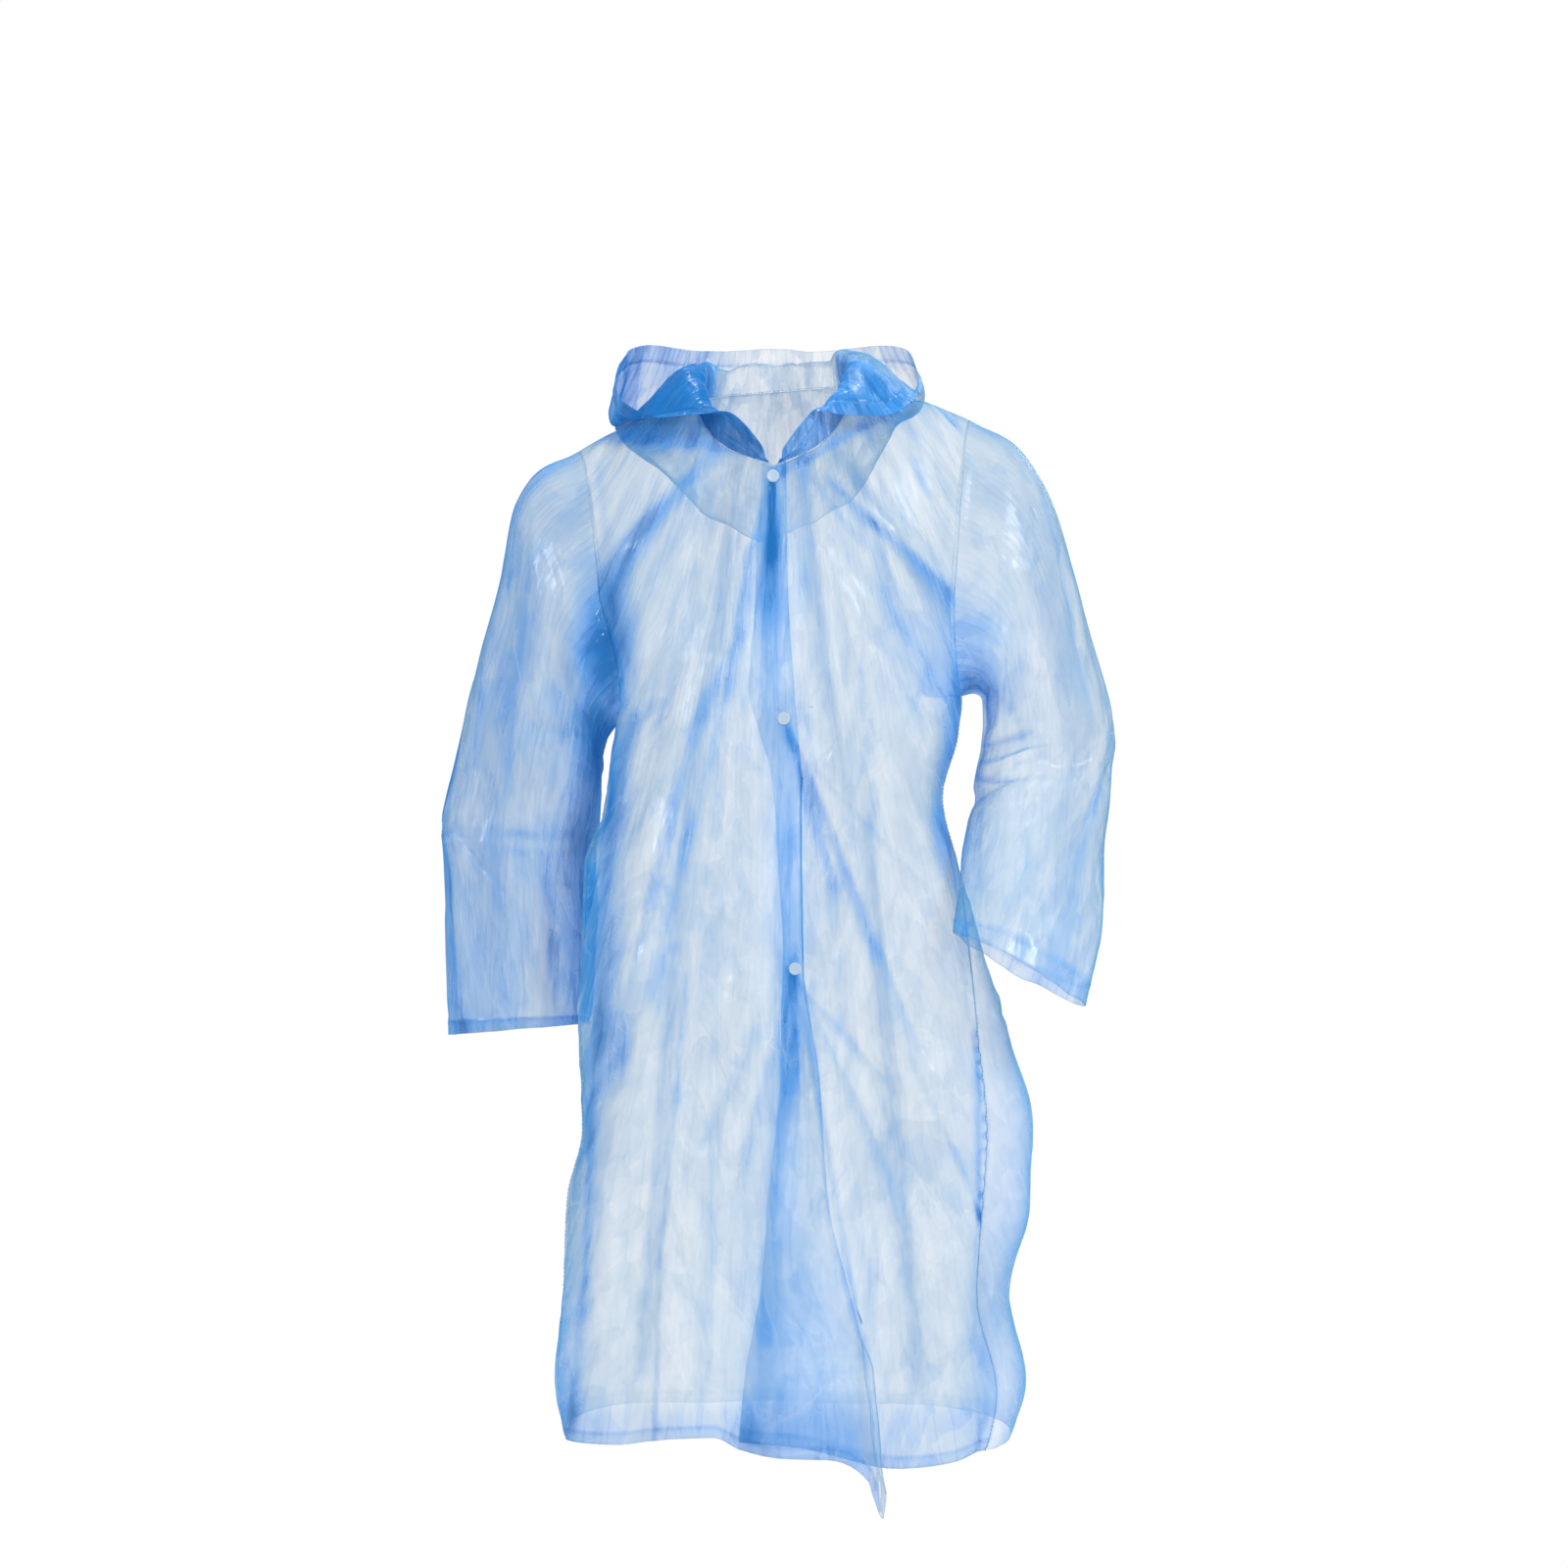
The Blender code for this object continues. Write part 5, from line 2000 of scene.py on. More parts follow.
@dataclass
class Fronts:
    """The two fronts: the right one laps over the left one, and its free edge rolls up."""

    form: CoatForm
    counts: GridCounts
    wall: float = 0.0010
    lap: float = 0.0032
    lap_fade: tuple[float, ...] = (1.0, 0.8, 0.45, 0.15, 0.0)
    lap_fade_steps: int = 5
    roll_top_z: float = -0.850
    roll_full_z: float = -0.930
    roll_columns: int = 15
    roll_radius: float = 0.0066
    roll_turn: float = 5.2
    roll_tighter: float = 0.07
    roll_stir: float = 0.5
    roll_stir_cell: float = 1 / 28
    roll_start_size: float = 0.35
    roll_calm: float = 0.7
    roll_tone: float = -0.05
    roll_glint: float = 0.55
    roll_glint_every: int = 4
    cuts: tuple[tuple[float, float], ...] = ((0.400, 1.150), (0.340, 1.080))
    areas: tuple[float, ...] = (0.315, 0.275)
    seeds: tuple[int, ...] = (11, 17)
    lap_calm: float = 0.72
    fan_middle: float = 0.004
    fan_top: float = 0.22
    fan_radius: float = 0.62
    hem_width: float = 0.011
    hem_tone: float = 0.10
    line_tone: float = 0.12
    low_tone: float = 0.26
    low_z: tuple[float, float] = (-0.99, -0.94)
    edge_tone: float = 0.25
    edge_width: float = 0.0030
    plain: bool = False
    sheets: dict[str, FilmSheet] = field(default_factory=dict)

    def whole(self, hem: Sequence[HemPlace]) -> Array:
        """The whole front with one hem: right seam, under edge, outer edge, left seam.

        Args:
            hem: The hem.

        Returns:
            Its points in rows and columns.
        """
        c = self.counts
        steps = [c.shoulder, c.neck, c.lap, c.neck, c.shoulder]
        under_top, outer_top = self.form.edge_shares(0, hem)
        neck_share = self.form.neck_share
        right_part = (under_top + neck_share) / (under_top + 1)
        left_part = (neck_share - outer_top) / (1 - outer_top)
        rows = []
        for down in c.downs():
            under, outer = self.form.edge_shares(down, hem)
            right_knot = under - (under + 1) * right_part
            left_knot = outer + (1 - outer) * left_part
            share = spread([-1, right_knot, under, outer, left_knot, 1], steps)
            points = self.form.row(down, share, hem, Facing.FRONT)
            rows.append(self.form.folded(down, share, points, FRONT_FOLDS))
        return np.array(rows)

    def fan(self, grid: Array) -> Array:
        """How far across the hang a point is: the folds spread from above the neck."""
        turn = np.arctan2(grid[..., 0] - self.fan_middle, self.fan_top - grid[..., 2])
        return turn * self.fan_radius

    def creases(self, grid: Array, seed: int) -> Array:
        """Creases and crumpling over the whole front.

        Args:
            grid: Its points.
            seed: Varies the crumpling.

        Returns:
            Heights along the normals.
        """
        down, from_seams, from_left = seam_places(grid)
        height = creased(grid[..., 0], grid[..., 2], FRONT_CREASES)
        height += Crumple(seed).heights(self.fan(grid), down)
        height = height * seam_fade(down, from_seams, SEAM_CALM)
        return height + PUCKER.height * PUCKER.wave(grid[..., 2], from_left)

    def tone(self, sheet: FilmSheet) -> None:
        """Notes where a front is puckered, bunched, banded or hemmed, and where shade is painted on it.

        Args:
            sheet: The whole front, as one sheet.
        """
        x, z = sheet.grid[..., 0], sheet.grid[..., 2]
        down, _, from_left = seam_places(sheet.grid)
        pucker = PUCKER.wave(z, from_left)
        sheet.glint = np.maximum(sheet.glint, PUCKER.glint * np.clip(pucker, 0, 1))
        sheet.gather = sheet.gather + PUCKER.tone * np.clip(-pucker, 0, 1)
        left = down[-1:] - down
        hem = 1 - ease(left, self.hem_width, self.hem_width + 0.002)
        line = stitch_line(left - self.hem_width, PANEL_LINE)
        total = drawn_together(banded(x, z, FRONT_BANDS), bunched(sheet.grid))
        low = 1 - ease(z, *self.low_z)
        sheet.gather = sheet.gather + total + self.hem_tone * hem + self.line_tone * line
        sheet.gather = sheet.gather + self.low_tone * low

    def rolled(self, grid: Array) -> Array:
        """The right front with the lower stretch of its free edge rolled up forwards.

        Args:
            grid: Its flat points.

        Returns:
            Its points, of which the last columns are the roll.
        """
        flat_columns = grid.shape[1] - self.roll_columns
        start = self.counts.front_half
        result = grid.copy()
        squeeze = np.linspace(start, grid.shape[1] - 1, flat_columns - start)
        wobble = GradientNoise(91)
        for r, row in enumerate(grid):
            level = row[-1, 2]
            amount = float(ease(level, self.roll_top_z, self.roll_full_z))
            if amount == 0:
                continue
            i = np.minimum(squeeze.astype(int), grid.shape[1] - 2)
            part = (squeeze - i)[:, None]
            flat = row[i] * (1 - part) + row[i + 1] * part
            edge = flat[-1]
            across = unit(flat[-1] - flat[-3])
            outward = unit(np.cross(across, [0.0, 0.0, 1.0]))
            stir = float(wobble.at(np.array(level / self.roll_stir_cell), np.array(0.5)))
            size = self.roll_start_size + (1 - self.roll_start_size) * amount
            radius = self.roll_radius * (1 + self.roll_stir * stir) * size
            turn = np.linspace(0, self.roll_turn, self.roll_columns + 1)[1:]
            spiral = radius * (1 - self.roll_tighter * turn)
            middle = edge - across * radius + outward * radius
            curl = middle + np.stack(
                [s * (across * math.sin(t) - outward * math.cos(t)) for s, t in zip(spiral, turn)]
            )
            flat = flat - across * radius * ease(np.linspace(0, 1, len(flat)), 0.4, 1)[:, None]
            target = np.concatenate([row[:start], flat, curl])
            result[r] = row * (1 - amount) + target * amount
        return result

    def shape(self) -> None:
        """Works out both sheets."""
        c = self.counts
        outer = self.whole(HEM_RIGHT_FRONT)
        under = self.whole(HEM_LEFT_FRONT)
        lap_end = c.front_half + c.lap + 1
        calm = np.ones(outer.shape[1])
        calm[c.front_half : lap_end] = 1 - self.lap_calm
        right = FilmSheet("front_right_film", outer)
        left = FilmSheet("front_left_film", under)
        if not self.plain:
            for sheet, seed in zip((right, left), self.seeds):
                height = self.creases(sheet.grid, seed) * calm
                down, from_seams, _ = seam_places(sheet.grid)
                sheet.mark_turns(height, seam_fade(down, from_seams, SEAM_UNMARKED))
                sheet.fan = self.fan(sheet.grid)
                sheet.raise_by(height)
                self.tone(sheet)
        off_edge = seam_places(outer[:, :lap_end])[2]
        right.gather[:, :lap_end] += self.edge_tone * stitch_line(off_edge, self.edge_width)
        right.each(lambda values: values[:, :lap_end])
        if not self.plain:
            right.grid = self.rolled(right.grid)
            rolled_up = 1 - ease(right.grid[:, -1:, 2], self.roll_full_z, self.roll_top_z)
            right.gather[:, -self.roll_columns :] *= 1 - self.roll_calm * rolled_up
            right.gather[:, -self.roll_columns :] += self.roll_tone * rolled_up
            lit = slice(-self.roll_columns, None, self.roll_glint_every)
            right.glint[:, lit] += self.roll_glint * rolled_up
        sunk = np.zeros(under.shape[1])
        sunk[:lap_end] = 1.0
        reach = (len(self.lap_fade) - 1) * self.lap_fade_steps
        knots = np.arange(len(self.lap_fade)) * self.lap_fade_steps
        sunk[lap_end - 1 : lap_end + reach] = np.interp(np.arange(reach + 1), knots, self.lap_fade)
        left.raise_by(-sunk * (self.wall + self.lap) * np.ones((len(under), 1)))
        left.each(lambda values: values[:, c.front_half :])
        self.sheets = {"front_right": right, "front_left": left}

    def armhole(self, side: Side) -> Array:
        """The armhole's front edge, from the shoulder tip to the armpit."""
        name, column = ("front_right", 0) if side is Side.RIGHT else ("front_left", -1)
        return self.sheets[name].grid[: self.counts.armpit_row + 1, column]

    def build(self, films: FilmPair) -> None:
        """Makes both pieces.

        Args:
            films: The film's finishes.
        """
        for (node, sheet), cut, area in zip(self.sheets.items(), self.cuts, self.areas):
            finish_sheet(sheet, films, node)


@dataclass
class BackPanel:
    """The back, in one piece from side seam to side seam."""

    form: CoatForm
    counts: GridCounts
    cut: tuple[float, float] = (0.640, 1.110)
    area: float = 0.675
    seed: int = 23
    fan_top: float = 0.30
    fan_radius: float = 0.70
    turn_tone: float = 0.5
    turn_glint: float = 0.7
    bunch_share: float = 0.6
    tone: float = -0.04
    line_tone: float = 0.04
    hem_width: float = 0.011
    plain: bool = False
    sheet: FilmSheet | None = None

    def shape(self) -> None:
        """Works out the sheet."""
        c = self.counts
        steps = [c.back_shoulder, c.back_neck, c.back_neck, c.back_shoulder]
        neck_share = self.form.neck_share
        share = spread([-1, -neck_share, 0, neck_share, 1], steps)
        rows = []
        for down in c.downs():
            points = self.form.row(down, share, HEM_BACK, Facing.BACK)
            rows.append(self.form.folded(down, share, points, BACK_FOLDS))
        grid = np.array(rows)
        self.sheet = FilmSheet("back_film", grid, flip=True)
        if self.plain:
            return
        down, from_seams, _ = seam_places(grid)
        x, z = grid[..., 0], grid[..., 2]
        height = creased(x, z, BACK_CREASES)
        self.sheet.fan = np.arctan2(x, self.fan_top - z) * self.fan_radius
        height += Crumple(self.seed).heights(self.sheet.fan, down)
        height *= seam_fade(down, from_seams, SEAM_CALM)
        self.sheet.mark_turns(height, seam_fade(down, from_seams, SEAM_UNMARKED))
        self.sheet.raise_by(height)
        line = stitch_line(down[-1:] - down - self.hem_width, PANEL_LINE)
        total = drawn_together(banded(x, z, BACK_BANDS), self.bunch_share * bunched(grid))
        self.sheet.gather = self.sheet.gather * self.turn_tone + total + self.tone
        self.sheet.gather = self.sheet.gather + self.line_tone * line
        self.sheet.glint *= self.turn_glint

    def armhole(self, side: Side) -> Array:
        """The armhole's back edge, from the shoulder tip to the armpit."""
        column = 0 if side is Side.RIGHT else -1
        return self.sheet.grid[: self.counts.armpit_row + 1, column]

    def build(self, films: FilmPair) -> None:
        """Makes the piece."""
        finish_sheet(self.sheet, films, "back")


@dataclass
class Sleeve:
    """A sleeve from its armhole to its open cuff."""

    side: Side
    rings: Sequence[Ring]
    creases: Sequence[Crease]
    bands: Sequence[Band]
    seed: int
    cut: tuple[float, float]
    area: float
    # tone deepens the whole sleeve's colour: painted shade, a deeper blue for a sleeve on the side away
    # from the key lamp
    tone: float = 0.0
    steps: int = 190
    plain: bool = False
    armhole_fade: float = 0.30
    fold_fade: float = 0.20
    scales: tuple[FacetScale, ...] = (
        FacetScale(0.050, 0.110, 0.0052),
        FacetScale(0.022, 0.044, 0.0020),
        FacetScale(0.010, 0.020, 0.0008),
    )
    over_arm: tuple[float, float] = (0.30, 0.48)
    over_arm_calm: float = 0.75
    # Painted shade of the sleeve: the shares of its length over which it rises to full strength, and its
    # share at the armhole
    tone_from: tuple[float, float] = (0.10, 0.45)
    tone_least: float = 0.3
    line_width: float = 0.0016
    line_height: float = 0.0007
    lip_calm: float = 0.4
    lip_unmarked: float = 0.7
    lip_waves: tuple[tuple[float, float, float], ...] = ((0.0007, 13, 2), (0.0012, 7, 0))
    calm_edge: float = 0.016
    unmarked_edge: float = 0.030
    lip_tone: float = 0.16
    line_tone: float = 0.14
    hem_width: float = 0.014
    sheet: FilmSheet | None = None

    @property
    def node(self) -> str:
        """Name of the solid that the sleeve stands for."""
        return f"sleeve_{self.side.name.lower()}"

    def ring(self, at: float, turn: Array) -> Array:
        """Points of an elliptic ring.

        Args:
            at: Share of the sleeve's length.
            turn: Angles from the over-arm round the front.

        Returns:
            The points.
        """
        knots = np.linspace(0, 1, len(self.rings))
        value = {
            name: float(smooth(at, knots, [getattr(ring, name) for ring in self.rings]))
            for name in Ring.__dataclass_fields__
        }
        over = np.array([value["over_x"], value["y"], value["over_z"]])
        under = np.array([value["under_x"], value["y"], value["under_z"]])
        lean = math.radians(value["lean"])
        ahead = value["depth"] * np.array([0.0, -math.cos(lean), math.sin(lean)])
        half = (over - under) / 2
        centre = (over + under) / 2
        return centre + np.cos(turn)[:, None] * half + np.sin(turn)[:, None] * ahead

    def shape(self, front_edge: Array, back_edge: Array) -> None:
        """Works out the sheet.

        Args:
            front_edge: The armhole's front edge, from the shoulder tip to the armpit.
            back_edge: Its back edge.
        """
        loop = np.concatenate([front_edge, back_edge[1:-1][::-1]])
        turn = np.arange(len(loop)) / len(loop) * 2 * math.pi
        stray = loop - self.ring(0.0, turn)
        at = np.linspace(0, 1, self.steps + 1)
        keep = np.clip(1 - at / self.armhole_fade, 0, 1) ** 2
        grid = np.array([self.ring(a, turn) + stray * k for a, k in zip(at, keep)])
        length = np.linalg.norm(np.diff(grid.mean(axis=1), axis=0), axis=1).sum()
        radius = np.linalg.norm(grid[-1] - grid[-1].mean(axis=0), axis=1).mean()
        signed = np.degrees(np.where(turn > math.pi, turn - 2 * math.pi, turn))
        around = np.repeat(np.radians(signed)[None] * radius, len(at), axis=0)
        along = np.repeat((at * length)[:, None], len(loop), axis=1)
        flip = self.side is Side.LEFT
        self.sheet = FilmSheet(f"{self.node}_film", grid, flip, True)

        folds = ridges(around, along, unrolled(SLEEVE_FOLDS, radius, length))
        self.sheet.raise_by(folds * np.clip(at / self.fold_fade, 0, 1)[:, None])
        if self.plain:
            return
        fine = creased(around, along, unrolled(self.creases, radius, length))
        seam = ease(math.pi - np.abs(np.radians(signed)), 0.0, 0.16)[None]
        fine = fine + Crumple(self.seed, self.scales).heights(around, along) * seam
        line_at = length - self.hem_width
        lip = ease(at * length, length - self.hem_width * 1.3, line_at)[:, None]
        line = stitch_line(at * length - line_at, self.line_width)[:, None]
        flutter = sum(h * np.sin(around / radius * n + start) for h, n, start in self.lip_waves)
        fine = fine * (1 - self.lip_calm * lip) + line * self.line_height + lip * flutter
        upper = np.cos(turn)[None]
        over = (1 - ease(at, *self.over_arm))[:, None] * (upper > 0) * upper**2
        fine = fine * ease(along, 0.0, self.calm_edge) * (1 - self.over_arm_calm * over)
        seen = ease(along, 0.0, self.unmarked_edge) * (1 - self.lip_unmarked * lip)
        self.sheet.mark_turns(fine, seen)
        self.sheet.raise_by(fine)
        bands = banded(around, along, unrolled(self.bands, radius, length))
        total = drawn_together(bands, bunched(self.sheet.grid))
        # Painted shade: the sleeve's tone deepens its colour as a whole
        full = self.tone_least + (1 - self.tone_least) * ease(at, *self.tone_from)[:, None]
        self.sheet.gather = self.sheet.gather + total + self.tone * full
        self.sheet.gather += self.lip_tone * lip + self.line_tone * line
        self.sheet.fan = np.abs(around)
        self.sheet.each(lambda values: np.roll(values, -(len(loop) // 2), axis=1))

    def build(self, films: FilmPair) -> None:
        """Makes the piece."""
        finish_sheet(self.sheet, films, self.node)


@dataclass
class CoatBody:
    """The panels and sleeves that the hood lies on."""

    fronts: Fronts
    back: BackPanel
    sleeves: tuple[Sleeve, Sleeve]

    @classmethod
    def cut(cls, form: CoatForm, plain: bool) -> "CoatBody":
        """Shapes all panels: plain ones on the solids' own coarse grid, or the creased ones.

        Args:
            form: The coat's outer surface.
            plain: Whether to leave out creases and crumpling.

        Returns:
            The shaped panels.
        """
        if plain:
            counts = GridCounts(6, 6, 17, 6, 5, 3, 7, 5)
            fronts = Fronts(form, counts, lap_fade_steps=1, plain=True)
        else:
            counts = GridCounts()
            fronts = Fronts(form, counts)
        fronts.shape()
        back = BackPanel(form, counts, plain=plain)
        back.shape()
        # The right sleeve's tone is painted shade, for the side away from the key lamp
        right = Sleeve(
            Side.RIGHT, RIGHT_SLEEVE_RINGS, RIGHT_SLEEVE_CREASES, RIGHT_SLEEVE_BANDS,
            31, (0.520, 0.560), 0.225, tone=0.14,
        )
        left = Sleeve(
            Side.LEFT, LEFT_SLEEVE_RINGS, LEFT_SLEEVE_CREASES, LEFT_SLEEVE_BANDS,
            37, (0.500, 0.560), 0.220, tone=0.00,
        )
        for sleeve in (right, left):
            sleeve.plain = plain
            sleeve.steps = 20 if plain else sleeve.steps
            sleeve.shape(fronts.armhole(sleeve.side), back.armhole(sleeve.side))
        return cls(fronts, back, (right, left))

    def trees(self) -> list[BVHTree]:
        """Search trees over the coat's surfaces.

        Returns:
            One for each panel and sleeve.
        """
        sheets = [*self.fronts.sheets.values(), self.back.sheet]
        sheets += [sleeve.sheet for sleeve in self.sleeves]
        return [sheet.tree() for sheet in sheets]


@dataclass
class Hood:
    """The hood: sealed to the neckline, turned over, its pouch behind and its hem standing."""

    form: CoatForm
    steps: int = 15
    finer: tuple[int, int] = (10, 8)
    seam_gap: float = 0.0009
    slip: float = -0.010
    clearance: float = 0.009
    rise_steps: int = 3
    reach: float = 0.08
    waves: int = 9
    wave: float = 0.003
    hem_width: float = 0.018
    cut: tuple[float, float] = (0.560, 0.400)
    area: float = 0.180
    seed: int = 41
    drum: tuple[float, float] = (0.12, 0.36)  # the creases' table is laid out on this drum
    scales: tuple[FacetScale, ...] = (
        FacetScale(0.030, 0.070, 0.0042),
        FacetScale(0.015, 0.030, 0.0018),
        FacetScale(0.008, 0.015, 0.0007),
    )
    short: tuple[float, float] = (0.03, 0.16)
    hem_calm: float = 0.4
    calm_edge: float = 0.020
    unmarked_edge: float = 0.015
    line_width: float = 0.0020
    line_height: float = 0.0008
    hem_tone: float = 0.12
    line_tone: float = 0.20
    drawn_tone: tuple[float, float] = (0.95, 0.66)
    lobe_tone: tuple[float, float] = (0.50, 0.13)
    behind_tone: float = -0.12
    behind_calm: float = 0.6
    drawn_calm: float = 0.5
    sheet: FilmSheet | None = None

    def seam(self, coat: CoatBody) -> Array:
        """The neck seam, from the right front's end round the back to the left's.

        Args:
            coat: The panels.

        Returns:
            Its points.
        """
        c = coat.fronts.counts
        in_lap = c.lap // 3
        fronts = coat.fronts.sheets
        right = fronts["front_right"].grid[0, c.shoulder : c.front_half + in_lap + 1][::-1]
        behind = coat.back.sheet.grid[0, c.back_shoulder + 1 : c.back_shoulder + 2 * c.back_neck]
        left = fronts["front_left"].grid[0, c.lap - in_lap : c.lap + c.neck + 1][::-1]
        return np.concatenate([right, behind, left])

    def profile(self, point: Array) -> Array:
        """One column of the hood.

        Args:
            point: Its point on the neck seam.

        Returns:
            Its points, from the seam to the face edge.
        """
        neck_y = self.form.neck_y
        angle = math.degrees(math.atan2(point[0], point[1] - neck_y))
        away = np.array([math.sin(math.radians(angle)), math.cos(math.radians(angle)), 0.0])
        places = [point + [0.0, 0.0, self.seam_gap]]
        for name in ("stand", "over", "low", "bag", "rim"):
            radius = float(read(HOOD_STATIONS, "angle", name + "_r", abs(angle)))
            height = float(read(HOOD_STATIONS, "angle", name + "_z", abs(angle)))
            place = np.array([0.0, neck_y, height]) + away * radius
            if name in ("bag", "rim"):
                place[0] += self.slip * math.cos(math.radians(angle / 2))
            if name != "rim":
                place[2] += float(self.form.lift(place[0], place[2]))
            places.append(place)
        return curve_through(np.array(places), self.steps)

    def lifted(self, point: Array, trees: Sequence[BVHTree], clearance: float) -> Array:
        """A point of the hood, clear of the coat under it.

        Args:
            point: The point.
            trees: Search trees of the coat.
            clearance: How far it stays off.

        Returns:
            The point, or the nearest place that clears the coat.
        """
        found = [tree.find_nearest(Vector(point)) for tree in trees]
        place, normal, _, distance = min(found, key=lambda hit: hit[3])
        if (Vector(point) - place).dot(normal) >= clearance or distance > self.reach:
            return point
        return np.array(place + normal * clearance)

    def shape(self, coat: CoatBody) -> None:
        """Works out the sheet.

        Args:
            coat: The plain panels, which the solid of the hood lies on too.
        """
        seam = self.seam(coat)
        grid = np.stack([self.profile(point) for point in seam], axis=1)
        count = grid.shape[1]
        swing = np.sin(np.linspace(0, self.waves * 2 * math.pi, count))
        swell = np.sin(np.linspace(0, math.pi, self.steps + 1)) ** 2
        ends = np.sin(np.linspace(0, math.pi, count)) ** 0.5
        waves = self.wave * swell[:, None] * (swing * ends)[None]
        grid = grid + grid_normals(grid, False) * waves[..., None]
        trees = coat.trees()
        for i in range(1, self.steps + 1):
            clearance = self.clearance * min(1.0, i / self.rise_steps)
            for j in range(count):
                grid[i, j] = self.lifted(grid[i, j], trees, clearance)
        grid = refined(refined(grid, self.finer[0], 0), self.finer[1], 1)
        self.sheet = FilmSheet("hood_film", grid)
        angle = np.degrees(np.arctan2(seam[:, 0], seam[:, 1] - self.form.neck_y))
        angle = np.interp(np.linspace(0, count - 1, grid.shape[1]), np.arange(count), angle)
        at = np.linspace(0, 1, len(grid))
        self.dress(angle, at)

    def dress(self, angle: Array, at: Array) -> None:
        """Creases and crumples the sheet and notes its tones.

        Args:
            angle: Each column's angle from the back.
            at: Each row's share of the profile.
        """
        radius, height = self.drum
        _, down = metric(self.sheet.grid)
        total = down[-1:]
        around = np.repeat(np.radians(angle)[None] * radius, len(at), axis=0)
        along = np.repeat((at * height)[:, None], len(angle), axis=1)
        long = ease(total, *self.short)
        fine = creased(around, along, unrolled(HOOD_CREASES, radius, height))
        fine = fine + Crumple(self.seed, self.scales).heights(around, down)
        hem = ease(down, total - self.hem_width - 0.002, total - self.hem_width)
        line = stitch_line(down - (total - self.hem_width), self.line_width)
        fine = fine * long * (1 - self.hem_calm * hem) + self.line_height * line
        fine = fine * ease(down, 0.0, self.calm_edge)
        self.sheet.fan = around
        self.sheet.mark_turns(fine, long * ease(down, 0.0, self.unmarked_edge))
        self.sheet.raise_by(fine)
        self.tone(np.abs(angle)[None], around, down, (self.hem_tone * hem + self.line_tone * line) * long)

    def tone(self, side: Array, around: Array, down: Array, edge: Array) -> None:
        """Notes where the hood is drawn together, lies double or is pale.

        Args:
            side: Angle from the back, either way.
            around: Distance round it.
            down: Distance from the seam.
            edge: Tone of its hem.
        """
        sheet = self.sheet
        behind = 1 - ease(side, 40, 70)
        x, z = sheet.grid[..., 0], sheet.grid[..., 2]
        right = x < 0
        # The lobes are drawn together below a slanting line on each side
        top = np.where(right, 0.085 + 0.79 * (x + 0.082), 0.088 - 0.66 * (x - 0.063))
        drawn = ease(top - z, -0.010, 0.004) * ease(side, 46, 70) * np.where(right, *self.drawn_tone)
        drawn *= 0.86 + 0.14 * GradientNoise(57).at(around * 40, down * 60)
        lobe = np.where(right, *self.lobe_tone) * ease(np.abs(x), 0.045, 0.075)
        lobe = lobe * ease(z, 0.004, 0.026) * (1 - drawn)
        behind = behind + 0.4 * behind * ease(-z, 0.0, 0.03)
        sheet.gather = sheet.gather * (1 - self.behind_calm * behind)
        sheet.gather += drawn + lobe + self.behind_tone * behind + edge
        sheet.glint *= (1 - self.behind_calm * behind) * (1 - self.drawn_calm * drawn)

    def build(self, films: FilmPair) -> None:
        """Makes the piece, whose inner face shows where it is turned over.

        Args:
            films: The film's finishes.
        """
        both = FilmPair(films.outside, films.outside)
        finish_sheet(self.sheet, both, "hood")


